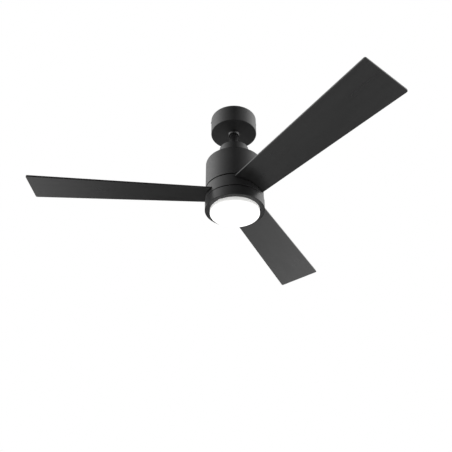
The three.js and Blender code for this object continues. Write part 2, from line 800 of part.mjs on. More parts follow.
function rotorBell() {
  const web = 4;
  return lathe([
    [spacerHole, rotorTop],
    [rotorRadius - 3, rotorTop],
    [rotorRadius, rotorTop - 3],
    [rotorRadius, rotorBottom + coverThickness + GAP],
    [bellInner, rotorBottom + coverThickness + GAP],
    [bellInner, rotorTop - web],
    [bearingBoss, rotorTop - web],
    [bearingBoss, rotorTop - BELL_LIP - BEARING_WIDTH],
    [bearingHole, rotorTop - BELL_LIP - BEARING_WIDTH],
    [bearingHole, rotorTop - BELL_LIP + GAP],
    [spacerHole, rotorTop - BELL_LIP + GAP],
  ], MEDIUM);
}

function rotorCover() {
  const disk = lathe([
    [bearingHole, rotorBottom],
    [rotorRadius, rotorBottom],
    [rotorRadius, rotorBottom + coverThickness],
    [bearingBoss, rotorBottom + coverThickness],
    [bearingBoss, rotorBottom + BEARING_WIDTH],
    [bearingHole, rotorBottom + BEARING_WIDTH],
  ], MEDIUM);
  return cut(disk, ...hubScrewHoles());
}

function hubScrewHoles() {
  return evenly(3).map((i) => (
    disc(hubScrew.shank + GAP, hubTop - HUB_WEB - 1, rotorBottom + coverThickness + 1, TINY)
      .translate(hubScrewRadius, 0, 0).rotateZ((i * 2 * Math.PI) / 3)
  ));
}

piece('rotor_bell', rotorBell(), castAluminium);
piece('rotor_cover', rotorCover(), castAluminium);
piece(
  'rotor_magnets',
  ring(
    magnetInner,
    magnetOuter,
    statorMiddle - MAGNET_HEIGHT / 2,
    statorMiddle + MAGNET_HEIGHT / 2,
    MEDIUM,
  ),
  ferrite,
);

for (const i of evenly(3)) {
  const angle = (i * 2 * Math.PI) / 3;
  const mesh = piece(`hub_screw_${i + 1}`, screw(hubScrew), zincSteel);
  mesh.position.set(
    hubScrewRadius * Math.cos(angle),
    hubScrewRadius * Math.sin(angle),
    hubTop - HUB_WEB - GAP,
  );
  mesh.rotation.x = Math.PI;
}

// ---- Blades and hub ----------------------------------------------------------

const pitch = rad(BLADE_PITCH);
const leadingSlope = (BLADE_TIP_LEADING - BLADE_ROOT_HALF_WIDTH) / (BLADE_TIP_RADIUS - BLADE_ROOT_RADIUS);
const leadingAtRim = BLADE_ROOT_HALF_WIDTH + leadingSlope * (bodyRadius - BLADE_ROOT_RADIUS);
const bladeRise = leadingAtRim * Math.sin(pitch) + (BLADE_THICKNESS / 2) * Math.cos(pitch);
const bladePlane = hubTop - HUB_WEB - BLADE_TO_WEB - bladeRise;
const bladeScrew = { shank: 2.2, length: BLADE_THICKNESS + 6, head: 4.4, headHeight: 2.6 };
const bladeAngles = evenly(BLADES).map((i) => Math.PI + (i * 2 * Math.PI) / BLADES);

// The blade in its own frame: x along its radial line, y towards the trailing
// edge, z up and zero half way through its thickness. Its outline is wider by
// "margin" all round where it is a cutter.
function bladeSolid(margin = 0) {
  const root = BLADE_ROOT_HALF_WIDTH + margin;
  const x0 = BLADE_ROOT_RADIUS - margin;
  const x1 = BLADE_TIP_RADIUS + margin;
  const corners = [
    [x0, -root],
    [x1 + BLADE_TIP_SKEW, -BLADE_TIP_LEADING - margin],
    [x1, BLADE_TIP_TRAILING + margin],
    [x0, root],
  ].map(([x, y]) => new THREE.Vector2(x, y));
  const shape = new THREE.Shape();
  shape.moveTo(corners[0].x, corners[0].y);
  for (const n of [1, 2]) {
    const corner = corners[n];
    const before = corners[n - 1].clone().sub(corner).setLength(BLADE_TIP_CORNER).add(corner);
    const after = corners[n + 1].clone().sub(corner).setLength(BLADE_TIP_CORNER).add(corner);
    shape.lineTo(before.x, before.y);
    shape.quadraticCurveTo(corner.x, corner.y, after.x, after.y);
  }
  shape.lineTo(corners[3].x, corners[3].y);
  const depth = BLADE_THICKNESS + 2 * margin;
  return new THREE.ExtrudeGeometry(shape, { depth, bevelEnabled: false, curveSegments: 5 })
    .translate(0, 0, -depth / 2);
}

// Moves a shape from a blade's frame to the fan's.
function onBlade(geometry, angle) {
  return geometry.rotateX(-pitch).rotateZ(angle).translate(0, 0, bladePlane);
}

const screwSides = [-1, 1];

function blade() {
  const holes = screwSides.map((side) => (
    disc(bladeScrew.shank + GAP, -BLADE_THICKNESS, BLADE_THICKNESS, TINY)
      .translate(BLADE_SCREW_RADIUS, side * BLADE_SCREW_OFFSET, 0)
  ));
  return cut(bladeSolid(), ...holes);
}

// The hub is one casting: a rim with a slot for each blade, a web over the
// blades, a boss under the rotor and a sloping seat for each blade.
function bladeHub() {
  const inner = bodyRadius - HUB_WALL;
  const casting = lathe([
    [HUB_HOLE_RADIUS, hubTop - HUB_WEB],
    [inner, hubTop - HUB_WEB],
    [inner, hubBottom],
    [bodyRadius, hubBottom],
    [bodyRadius, hubTop],
    [hubScrewRadius + 8, hubTop],
    [hubScrewRadius + 8, rotorBottom - GAP],
    [HUB_HOLE_RADIUS, rotorBottom - GAP],
  ]);
  const reach = BLADE_SCREW_OFFSET + 9;
  const rimBounds = disc(inner + 1, hubBottom, hubTop, FINE);
  const seats = bladeAngles.map((angle) => {
    const block = box([BLADE_ROOT_RADIUS, -reach, bladePlane - 12], [bodyRadius, reach, hubTop - 1]);
    const under = box([0, -2 * reach, -4 * reach], [2 * bodyRadius, 2 * reach, BLADE_THICKNESS / 2 + GAP]);
    return cut(within(block.rotateZ(angle), rimBounds), onBlade(under, angle));
  });
  const slots = bladeAngles.flatMap((angle) => [0, -SLOT_DROP].map(
    (shift) => onBlade(bladeSolid(SLOT_GAP).translate(0, 0, shift), angle),
  ));
  const threads = bladeAngles.flatMap((angle) => screwSides.map((side) => onBlade(
    disc(bladeScrew.shank + GAP, 0, bladeScrew.length - BLADE_THICKNESS / 2 + 0.6, TINY)
      .translate(BLADE_SCREW_RADIUS, side * BLADE_SCREW_OFFSET, 0),
    angle,
  )));
  return cut(join(cut(casting, ...slots), ...seats), ...threads, ...hubScrewHoles());
}

piece('blade_hub', bladeHub(), blackPaint);

bladeAngles.forEach((angle, i) => {
  const turned = new THREE.Group();
  turned.position.z = bladePlane;
  turned.rotation.z = angle;
  fan.add(turned);
  const pitched = new THREE.Group();
  pitched.rotation.x = -pitch;
  turned.add(pitched);
  piece(`blade_${i + 1}`, blade(), bladeLaminate, pitched);
  screwSides.forEach((side, n) => {
    const mesh = piece(`blade_screw_${i + 1}_${n + 1}`, screw(bladeScrew), zincSteel, pitched);
    mesh.position.set(BLADE_SCREW_RADIUS, side * BLADE_SCREW_OFFSET, -BLADE_THICKNESS / 2 - GAP);
    mesh.rotation.x = Math.PI;
  });
});

// ---- Light -------------------------------------------------------------------

const lightRadius = LIGHT_DIAMETER / 2;
const lightInner = lightRadius - LIGHT_WALL;
const bezelOuter = lightInner - GAP;
const lensHole = lightRadius - BEZEL_WIDTH;
const lensRadius = lensHole - LENS_GAP;
const trayTop = lightBottom + 10.5;
const boardRadius = lensRadius - 8;
const postRadius = boardRadius - 5;
const traySupports = [90, 270].map(rad);
const trayScrew = { shank: 1.5, length: 6, head: 2.8, headHeight: 1.4 };

// The can hangs on the shaft's nut. Two posts under its top carry the LEDs.
function lightCan() {
  const shell = lathe([
    [shaftHole, lightTop - LIGHT_TOP],
    [shaftHole, lightTop],
    [lightRadius, lightTop],
    [lightRadius, lightBottom],
    [lightInner, lightBottom],
    [lightInner, lightTop - LIGHT_TOP],
  ]);
  const posts = traySupports.map((angle) => (
    disc(4, trayTop + GAP, lightTop - 1, TINY).translate(postRadius, 0, 0).rotateZ(angle)
  ));
  const threads = traySupports.map((angle) => (
    disc(trayScrew.shank + GAP, trayTop - 1, trayTop + trayScrew.length, TINY)
      .translate(postRadius, 0, 0).rotateZ(angle)
  ));
  return cut(join(shell, ...posts), ...threads);
}

function shaftNut() {
  const corner = NUT_ACROSS / 2 / Math.cos(Math.PI / 6);
  return cut(disc(corner, nutBottom, nutTop, 6), disc(shaftHole, nutBottom - 1, nutTop + 1));
}

const driverInner = NUT_ACROSS / 2 + 5;

// The LED driver, with a mounting lug at each end.
function ledDriver() {
  const [length, width, height] = DRIVER_BOX;
  const top = lightTop - LIGHT_TOP - GAP;
  const body = box([-driverInner - length, -width / 2, top - height], [-driverInner, width / 2, top]);
  const lugs = [-1, 1].map((side) => (
    box([-8, -4, top - 2], [8, 4, top])
      .translate(-driverInner - length / 2, side * (width / 2 + 3), 0)
  ));
  return join(body, ...lugs);
}

function trayHoles() {
  return traySupports.map((angle) => (
    disc(trayScrew.shank + GAP, lightBottom, lightTop, TINY).translate(postRadius, 0, 0).rotateZ(angle)
  ));
}

const ledBoardTop = trayTop - LED_TRAY - GAP;
const ledBoardBottom = ledBoardTop - BOARD_THICKNESS;

function ledBoard() {
  const circles = [[0.36, LEDS / 3], [0.78, (LEDS * 2) / 3]];
  const chips = circles.flatMap(([share, count]) => evenly(count).map((i) => (
    box([-1.5, -1.5, ledBoardBottom - 0.8], [1.5, 1.5, ledBoardBottom + 0.4])
      .translate(boardRadius * share, 0, 0).rotateZ(((i + 0.5) * 2 * Math.PI) / count)
  )));
  return cut(join(disc(boardRadius, ledBoardBottom, ledBoardTop, 32), ...chips), ...trayHoles());
}

const tabZ0 = lightBottom + BEZEL_LIP + 0.4;
const tabZ1 = tabZ0 + LENS_TAB_HEIGHT;
const tabOuter = lensRadius + LENS_TAB_REACH;
const lensTabs = [90, 210, 330];

// A block of a ring: between two radii and two heights, "width" degrees wide
// about the direction "middle".
function sector(inner, outer, z0, z1, middle, width) {
  const from = rad(middle - width / 2);
  const to = rad(middle + width / 2);
  const shape = new THREE.Shape();
  shape.absarc(0, 0, outer, from, to, false);
  shape.absarc(0, 0, inner, to, from, true);
  return new THREE.ExtrudeGeometry(shape, { depth: z1 - z0, bevelEnabled: false, curveSegments: 4 })
    .translate(0, 0, z0);
}

// The bezel closes the can. Its lip has a notch beside each lens tab, and a
// stop where the tab has turned as far as the notch.
function lensBezel() {
  const body = lathe([
    [lensHole, lightBottom],
    [bezelOuter, lightBottom],
    [bezelOuter, lightBottom + BEZEL_HEIGHT],
    [bezelOuter - BEZEL_WALL, lightBottom + BEZEL_HEIGHT],
    [bezelOuter - BEZEL_WALL, lightBottom + BEZEL_LIP],
    [lensHole, lightBottom + BEZEL_LIP],
  ]);
  const lipTop = lightBottom + BEZEL_LIP;
  const notches = lensTabs.map((deg) => (
    sector(lensHole - 3, tabOuter + 0.8, lightBottom - 1, lipTop + 1, deg + LENS_TWIST, LENS_TAB_ANGLE + 2)
  ));
  const stops = lensTabs.map((deg) => (
    sector(lensHole + 0.8, tabOuter, lipTop - 1, tabZ1, deg + LENS_TWIST + LENS_TAB_ANGLE / 2 + 3, 3)
  ));
  return join(cut(body, ...notches), ...stops);
}

function lens() {
  const inner = lensRadius - LENS_WALL;
  const dish = lathe([
    [0, lensBottom],
    ...arc(lensRadius - LENS_EDGE, lensBottom + LENS_EDGE, LENS_EDGE, -90, 0, 3),
    [lensRadius, tabZ1],
    [inner, tabZ1],
    [inner, lensBottom + LENS_EDGE],
    [lensRadius - LENS_EDGE, lensBottom + LENS_WALL],
    [0, lensBottom + LENS_WALL],
  ]);
  const tabs = lensTabs.map((deg) => (
    sector(lensRadius - 1.5, tabOuter, tabZ0, tabZ1, deg, LENS_TAB_ANGLE)
  ));
  return join(dish, ...tabs);
}

piece('light_can', lightCan(), blackPaint);
piece('shaft_nut', shaftNut(), zincSteel);
piece('led_driver', ledDriver(), whitePlastic);
piece(
  'led_tray',
  cut(disc(boardRadius + 2, trayTop - LED_TRAY, trayTop, 32), ...trayHoles()),
  castAluminium,
);
piece('led_board', ledBoard(), whitePlastic);
piece('lens_bezel', lensBezel(), blackPaint);
piece('lens', lens(), opal);

traySupports.forEach((angle, i) => {
  const mesh = piece(`tray_screw_${i + 1}`, screw(trayScrew), zincSteel);
  mesh.position.set(
    postRadius * Math.cos(angle),
    postRadius * Math.sin(angle),
    ledBoardBottom - GAP,
  );
  mesh.rotation.x = Math.PI;
});

// ---- Cables ------------------------------------------------------------------

const supplyPlug = [9, 14, 8];
const supplyExitHeight = ballTop + SUPPLY_CABLE / 2 + 2.2;
const supplyPlugY = -seatOuter - 6;

// A path of straight runs joined by quarter bends of radius CABLE_BEND.
function routed(points) {
  const path = new THREE.CurvePath();
  const corners = points.map((p) => new THREE.Vector3(...p));
  let from = corners[0];
  for (let i = 1; i < corners.length - 1; i += 1) {
    const back = corners[i - 1].clone().sub(corners[i]);
    const ahead = corners[i + 1].clone().sub(corners[i]);
    const bend = Math.min(CABLE_BEND, 0.45 * back.length(), 0.45 * ahead.length());
    const into = back.setLength(bend).add(corners[i]);
    const out = ahead.setLength(bend).add(corners[i]);
    path.add(new THREE.LineCurve3(from, into));
    path.add(new THREE.QuadraticBezierCurve3(into, corners[i], out));
    from = out;
  }
  path.add(new THREE.LineCurve3(from, corners[corners.length - 1]));
  return path;
}

// From the plug beside the ball, over the ball, down the rod past both pins, on
// through the shaft and out of its window to the drive board.
const besidePins = -(CROSS_PIN_RADIUS + SUPPLY_CABLE / 2 + 0.8);
const supplyRoute = routed([
  [0, supplyPlugY, supplyExitHeight],
  [0, besidePins, supplyExitHeight],
  [0, besidePins, clevisHeight - CROSS_PIN_RADIUS - 2],
  [0, 0, shaftTop + 3],
  [0, 0, cableHeight],
  [plugInner - GAP, 0, cableHeight],
]);

// From the drive board through the other window, down the shaft to the driver.
const lightCableEnd = shaftBottom - 4;
const lightRoute = routed([
  [-plugInner + GAP, 0, cableHeight],
  [0, 0, cableHeight],
  [0, 0, lightCableEnd],
  [-driverInner + GAP, 0, lightCableEnd],
]);

piece('supply_cable', tube(supplyRoute, SUPPLY_CABLE / 2, 44), blackPlastic);
piece('light_cable', tube(lightRoute, LIGHT_CABLE / 2, 36), blackPlastic);

const [plugWidth, plugLength, plugHeight] = supplyPlug;
piece(
  'supply_plug',
  box(
    [-plugWidth / 2, supplyPlugY - GAP - plugLength, supplyExitHeight - plugHeight / 2],
    [plugWidth / 2, supplyPlugY - GAP, supplyExitHeight + plugHeight / 2],
  ),
  whitePlastic,
);

export default fan;
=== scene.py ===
"""A three-blade ceiling fan with a round LED light, hung from the ceiling on a short rod.

Lengths are in millimetres until a mesh is made, and then in metres. +Z is up, and the
origin is on the fan's axis in the plane of the ceiling. Blade 1 points along -X.
"""

import json
import math

import bmesh
import bpy
import numpy as np
from mathutils import Matrix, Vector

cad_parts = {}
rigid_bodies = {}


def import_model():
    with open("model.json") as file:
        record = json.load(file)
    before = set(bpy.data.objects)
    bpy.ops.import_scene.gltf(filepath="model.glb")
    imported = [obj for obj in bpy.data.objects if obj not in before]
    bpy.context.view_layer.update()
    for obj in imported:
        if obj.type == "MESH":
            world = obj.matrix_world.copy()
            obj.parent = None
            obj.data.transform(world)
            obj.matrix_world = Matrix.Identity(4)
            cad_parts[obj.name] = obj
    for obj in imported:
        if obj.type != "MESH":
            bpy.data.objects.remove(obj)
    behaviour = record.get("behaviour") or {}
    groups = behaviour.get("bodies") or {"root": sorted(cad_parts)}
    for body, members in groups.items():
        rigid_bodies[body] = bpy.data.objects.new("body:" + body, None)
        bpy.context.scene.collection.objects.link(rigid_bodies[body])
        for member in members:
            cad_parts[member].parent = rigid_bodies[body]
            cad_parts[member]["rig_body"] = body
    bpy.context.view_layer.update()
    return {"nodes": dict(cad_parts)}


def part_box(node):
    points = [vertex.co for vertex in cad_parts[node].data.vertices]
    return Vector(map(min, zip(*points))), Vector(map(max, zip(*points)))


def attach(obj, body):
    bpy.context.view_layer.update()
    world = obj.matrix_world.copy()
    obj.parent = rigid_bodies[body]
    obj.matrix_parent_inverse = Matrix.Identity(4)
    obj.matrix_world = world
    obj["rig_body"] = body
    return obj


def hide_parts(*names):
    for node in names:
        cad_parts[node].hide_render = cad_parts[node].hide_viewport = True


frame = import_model()
TURN = 2 * math.pi


# Hanger bracket: 2.5 mm steel pressed to a strap with two legs and a round seat, then
# zinc-plated. Two screws through its slots hold the whole fan to the ceiling box.

def placed(name, data):
    """A new object in the scene, at the origin."""
    made = bpy.data.objects.new(name, data)
    bpy.context.scene.collection.objects.link(made)
    return made


def add(tree, kind, settings=(), *values, **inputs):
    """A shader node, with its settings. Its inputs, in order or by name, are values or the outputs
    of other nodes."""
    made = tree.nodes.new("ShaderNode" + kind)
    for key, value in dict(settings).items():
        setattr(made, key, value)
    named = [(made.inputs[key.replace("_", " ")], value) for key, value in inputs.items()]
    for socket, value in [*zip(made.inputs, values), *named]:
        if isinstance(value, bpy.types.NodeSocket):
            tree.links.new(value, socket)
        else:
            socket.default_value = value
    return made


def noise(tree, at, scale, low, high, detail=4, roughness=0.55):
    """A soft random value between low and high that changes over about 1/scale metres."""
    cloud = add(tree, "TexNoise", Vector=at, Scale=scale, Detail=detail, Roughness=roughness)
    spread = add(tree, "MapRange", Value=cloud.outputs["Fac"], From_Min=0.3, From_Max=0.7,
                 To_Min=low, To_Max=high)
    return spread.outputs["Result"]


def between(tree, share, dark, light):
    """A colour between dark and light."""
    mix = add(tree, "Mix", {"data_type": "RGBA"})
    factor, _, _, _, _, _, first, second = mix.inputs[:8]
    tree.links.new(share, factor)
    first.default_value, second.default_value = (*dark, 1), (*light, 1)
    return mix.outputs[2]


def math_node(tree, operation, *values):
    """One sum on values or other nodes' outputs."""
    return add(tree, "Math", {"operation": operation}, *values).outputs["Value"]


def finish(name, dark, light, patch, rough, grain, relief, metallic=0.0, stretch=(1, 1, 1),
           uv=None, lines=None, **constant):
    """A finish whose colour drifts from dark to light in patches, and whose roughness and fine
    relief follow a grain. patch and grain are per metre, relief is a depth in metres. "lines" adds
    level grooves: how many a metre, how dark, and how deep."""
    material = bpy.data.materials.new(name)
    material.use_nodes = True
    tree = material.node_tree
    shader = tree.nodes["Principled BSDF"]
    place = add(tree, "UVMap", {"uv_map": uv}).outputs["UV"] if uv else (
        add(tree, "TexCoord").outputs["Object"])
    at = add(tree, "Mapping", Vector=place, Scale=stretch).outputs["Vector"]
    share = noise(tree, at, patch, 0, 1)
    height = noise(tree, at, grain, 0, 1, detail=3)
    if lines:
        count, depth, rise = lines
        along = add(tree, "SeparateXYZ", Vector=place).outputs["Z"]
        wave = math_node(tree, "SINE", math_node(tree, "MULTIPLY", along, TURN * count))
        groove = math_node(tree, "POWER", math_node(tree, "MULTIPLY_ADD", wave, 0.5, 0.5), 4.0)
        share = math_node(tree, "SUBTRACT", share, math_node(tree, "MULTIPLY", groove, depth))
        height = math_node(tree, "SUBTRACT", height, math_node(tree, "MULTIPLY", groove, rise))
    tree.links.new(between(tree, share, dark, light), shader.inputs["Base Color"])
    tree.links.new(noise(tree, at, grain / 5, *rough), shader.inputs["Roughness"])
    bump = add(tree, "Bump", Height=height, Distance=relief, Strength=0.5)
    tree.links.new(bump.outputs["Normal"], shader.inputs["Normal"])
    shader.inputs["Metallic"].default_value = metallic
    for key, value in constant.items():
        shader.inputs[key.replace("_", " ")].default_value = value
    return material


def extents(node):
    """Lowest and highest corner of a CAD node, in millimetres."""
    low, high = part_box(node)
    return np.array(low) * 1000, np.array(high) * 1000


def body_of(node):
    """The CAD body that a node belongs to."""
    return frame["nodes"][node]["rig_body"]


def shaded(piece, materials, sharp=38):
    """Its materials, and smooth shading between faces that meet at less than "sharp" degrees."""
    piece.data.materials.clear()
    for material in materials:
        piece.data.materials.append(material)
    piece.data.shade_smooth()
    piece.data.set_sharp_from_angle(angle=math.radians(sharp))
    weighted = piece.modifiers.new("even_shading", "WEIGHTED_NORMAL")
    weighted.keep_sharp = True


def stands_for(piece, node):
    """The piece rides on the CAD node's body and hides the node."""
    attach(piece, body_of(node))
    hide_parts(node)
    return piece


def eased(node, material, width, sharp=30):
    """A copy of a CAD node with its flat faces merged and each sharp edge rounded to "width"."""
    mesh = bpy.data.meshes.new(node)
    bm = bmesh.new()
    bm.from_mesh(frame["nodes"][node].data)
    bmesh.ops.remove_doubles(bm, verts=bm.verts, dist=1e-6)
    bmesh.ops.dissolve_limit(bm, angle_limit=math.radians(0.5), verts=bm.verts, edges=bm.edges)
    bm.to_mesh(mesh)
    bm.free()
    piece = placed(node + "_finished", mesh)
    rounding = piece.modifiers.new("rounding", "BEVEL")
    rounding.width = width / 1000
    rounding.segments = 3
    rounding.limit_method = "ANGLE"
    rounding.angle_limit = math.radians(sharp)
    shaded(piece, [material])
    return stands_for(piece, node)


BRACKET_EDGE = 0.6
zinc = finish(
    "zinc_plated_steel", (0.40, 0.41, 0.42), (0.62, 0.63, 0.64), 160, (0.24, 0.42), 1400, 0.00003,
    metallic=1.0,
)
eased("hanger_bracket", zinc, BRACKET_EDGE)


# Ball seat liner: a moulded rubber cup between ball and bracket. It is open towards -Y,
# like the seat, so that the rod can be put in from the side.

def block(low, high):
    """A straight-sided tool between two corners."""
    x, y, z = np.array([low, high], float).T
    corners = np.array([[a, b, c] for c in z for b in y for a in x])
    return corners, [
        [0, 2, 3, 1], [4, 5, 7, 6], [0, 1, 5, 4], [2, 6, 7, 3], [0, 4, 6, 2], [1, 3, 7, 5],
    ]


def skin(grid, around=True, along=True):
    """Four-sided faces between neighbours of a grid of points. A direction that closes joins its
    last row to its first."""
    rows, columns = grid.shape[:2]
    i = np.arange(rows if along else rows - 1)[:, None]
    j = np.arange(columns if around else columns - 1)[None, :]
    ahead, beside = (i + 1) % rows, (j + 1) % columns
    corners = [
        i * columns + j, i * columns + beside, ahead * columns + beside, ahead * columns + j,
    ]
    return grid.reshape(-1, 3), np.stack(corners, -1).reshape(-1, 4).tolist()


def turned(profile, facets=144, closed=True):
    """A profile of (radius, height) points carried round the Z axis: x = r cos a, y = r sin a and
    z = height."""
    a = np.arange(facets) * TURN / facets
    r, z = (column[:, None] * np.ones(facets) for column in np.array(profile, float).T)
    return skin(np.stack([r * np.cos(a), r * np.sin(a), z], -1), along=closed)


def moved(part, matrix):
    """The same faces, with every point p at M p."""
    points, faces, *number = part
    m = np.array(matrix)
    return points @ m[:3, :3].T + m[:3, 3], faces, *number


def mesh_of(name, parts):
    """One mesh of all the parts, in metres, with doubles welded and its faces pointing outwards. A
    part may have a material number after its points and faces."""
    points, faces, number, base = [], [], [], 0
    for part in parts:
        points.append(part[0])
        faces += [[base + v for v in face] for face in part[1]]
        number += [part[2] if len(part) > 2 else 0] * len(part[1])
        base += len(part[0])
    mesh = bpy.data.meshes.new(name)
    mesh.from_pydata((np.concatenate(points) / 1000).tolist(), [], faces)
    mesh.polygons.foreach_set("material_index", number)
    bm = bmesh.new()
    bm.from_mesh(mesh)
    bmesh.ops.remove_doubles(bm, verts=bm.verts, dist=1e-6)
    bmesh.ops.dissolve_degenerate(bm, edges=bm.edges, dist=1e-7)
    bmesh.ops.recalc_face_normals(bm, faces=bm.faces)
    bm.to_mesh(mesh)
    bm.free()
    return mesh


def built(name, parts, materials, cuts=(), adds=(), sharp=38):
    """A piece made of parts. "adds" are welded to it and then "cuts" are taken out of it."""
    piece = placed(name, mesh_of(name, parts))
    for operation, tools in (("UNION", adds), ("DIFFERENCE", cuts)):
        if len(tools):
            tool = placed("tool", mesh_of("tool", tools))
            change = piece.modifiers.new("change", "BOOLEAN")
            change.operation, change.solver, change.object = operation, "EXACT", tool
            graph = bpy.context.evaluated_depsgraph_get()
            changed = bpy.data.meshes.new_from_object(piece.evaluated_get(graph))
            piece.modifiers.clear()
            piece.data = changed
            bpy.data.objects.remove(tool)
    shaded(piece, materials, sharp)
    return piece


def fit(node, parts, materials, cuts=(), adds=(), sharp=38):
    """A finished piece that stands for a CAD node."""
    piece = built(node + "_finished", parts, materials, cuts, adds, sharp)
    return stands_for(piece, node)


ball_low, ball_high = extents("hanger_ball")
liner_low, liner_high = extents("ball_seat_liner")
rod_low, rod_high = extents("downrod")
FIT = 0.3
PAST = 60.0                        # how far a cutting tool runs past its piece
BALL_RADIUS = 32.0
BALL_GAP = 0.6
LINER_THICKNESS = 2.0
TAB_HALF_WIDTH = 2.5
TAB_ROOM = 1.5
NOTCH_FLOOR = 5.8
MOUTH_ROOM = 1.5
rod_radius = rod_high[0]
ball_centre = (ball_low[2] + ball_high[2]) / 2
liner_inner = BALL_RADIUS + BALL_GAP
liner_height = np.linspace(liner_low[2], liner_high[2], 9)


def at_sphere(radius, height):
    """Points (r, z) on a sphere about the ball's centre: r = sqrt(radius^2 - (z - centre)^2)."""
    return np.stack([np.sqrt(radius ** 2 - (height - ball_centre) ** 2), height], -1)


rubber = finish(
    "black_rubber", (0.016, 0.016, 0.016), (0.028, 0.028, 0.028), 90, (0.75, 0.9), 1500, 0.00004,
)
mouth_half = rod_radius + MOUTH_ROOM
slot_half = TAB_HALF_WIDTH + TAB_ROOM
fit("ball_seat_liner", [turned(np.concatenate([
    at_sphere(liner_inner, liner_height),
    at_sphere(liner_inner + LINER_THICKNESS, liner_height[::-1]),
]))], [rubber], cuts=[
    block((-mouth_half, -PAST, liner_low[2] - PAST), (mouth_half, 0, liner_high[2] + PAST)),
    block((-slot_half, 0, liner_high[2] - NOTCH_FLOOR), (slot_half, PAST, liner_high[2] + PAST)),
])


# Hanger ball: cast aluminium with its seat face turned. A slot in its +Y side stands over
# the bracket's tab, so the fan can't turn, and a groove on top takes the cross pin.

cast = finish(
    "cast_aluminium", (0.44, 0.44, 0.45), (0.60, 0.60, 0.61), 60, (0.36, 0.55), 1100, 0.00006,
    metallic=1.0,
)
BALL_BORE = rod_radius + FIT
PIN_RADIUS = 3.0
PIN_ROOM = PIN_RADIUS + FIT
SET_SCREW_RADIUS = 3.0
TAB_TIP = 28.15
SLOT_DEPTH = 2.5
BORE_EASE = 0.8
TOOL_START = 3.0
AXIS = 0.01                        # a profile's inner end, just off the axis
PIN_END_ROOM = 0.5
pin_low, pin_high = extents("ball_pin")
ball_pin_height = (pin_low[2] + pin_high[2]) / 2


def bent(start, corner, end, s):
    """The curve (1-s)^2 start + 2s(1-s) corner + s^2 end, for rows of points and s from 0 to 1."""
    return (1 - s) ** 2 * start[:, None] + 2 * s * (1 - s) * corner[:, None] + s ** 2 * end[:, None]


def rounded(profile, radius, steps=4):
    """Each corner of a closed profile gives way to a bent curve between the points that lie
    "radius" before and after it, or 45% of the shorter side."""
    corner = np.array(profile, float)
    into = np.roll(corner, 1, 0) - corner
    out = np.roll(corner, -1, 0) - corner
    near = np.linalg.norm(into, axis=1)
    far = np.linalg.norm(out, axis=1)
    reach = np.minimum(np.broadcast_to(radius, near.shape), 0.45 * np.minimum(near, far))[:, None]
    start = corner + into / near[:, None] * reach
    end = corner + out / far[:, None] * reach
    s = np.linspace(0, 1, steps + 1)[None, :, None]
    return bent(start, corner, end, s).reshape(-1, 2)


def cylinder(radius, low, high, facets=32):
    """A plain round tool along Z, closed at both ends."""
    return turned([(0, low), (radius, low), (radius, high), (0, high)], facets, closed=False)


def along_x(part, height):
    """A part that stood on the Z axis, laid along X at that height."""
    return moved(part, Matrix.Translation((0, 0, height)) @ Matrix.Rotation(TURN / 4, 4, "Y"))


def from_front(part, height):
    """A part that stood on the Z axis, laid along -Y with its foot on the rod's bore."""
    return moved(
        part, Matrix.Translation((0, -BALL_BORE, height)) @ Matrix.Rotation(TURN / 4, 4, "X"))


tilt = math.asin((ball_high[2] - ball_centre) / BALL_RADIUS)
belt = np.linspace(-tilt, tilt, 25)
fit("hanger_ball", [turned(np.concatenate([
    [(BALL_BORE, ball_low[2] + BORE_EASE), (BALL_BORE + BORE_EASE, ball_low[2])],
    np.stack([BALL_RADIUS * np.cos(belt), ball_centre + BALL_RADIUS * np.sin(belt)], -1),
    [(BALL_BORE + BORE_EASE, ball_high[2]), (BALL_BORE, ball_high[2] - BORE_EASE)],
]), 96)], [cast], cuts=[
    block((pin_low[0] - PIN_END_ROOM, -PIN_ROOM, ball_pin_height - PIN_ROOM),
          (pin_high[0] + PIN_END_ROOM, PIN_ROOM, 0)),
    block((-slot_half, TAB_TIP - SLOT_DEPTH, ball_low[2] - PAST),
          (slot_half, PAST, ball_high[2] + PAST)),
    from_front(cylinder(SET_SCREW_RADIUS + FIT, -TOOL_START, PAST), ball_centre),
])


# Pins and set screws: bright steel, turned and chamfered. A pin through the rod's top
# end carries the fan on the ball, and a socket set screw stops the rod's rattle.

bright = finish(
    "bright_steel", (0.56, 0.56, 0.57), (0.70, 0.70, 0.71), 90, (0.14, 0.28), 2600, 0.00001,
    metallic=1.0,
)
PIN_CHAMFER = 0.6
COLUMNS = 36
THREAD_DEPTH = 0.16


def six_sided(across, a):
    """The radius of a hexagon that is "across" wide over its flats, in the direction a."""
    return across / 2 / np.cos((a + TURN / 12) % (TURN / 6) - TURN / 12)


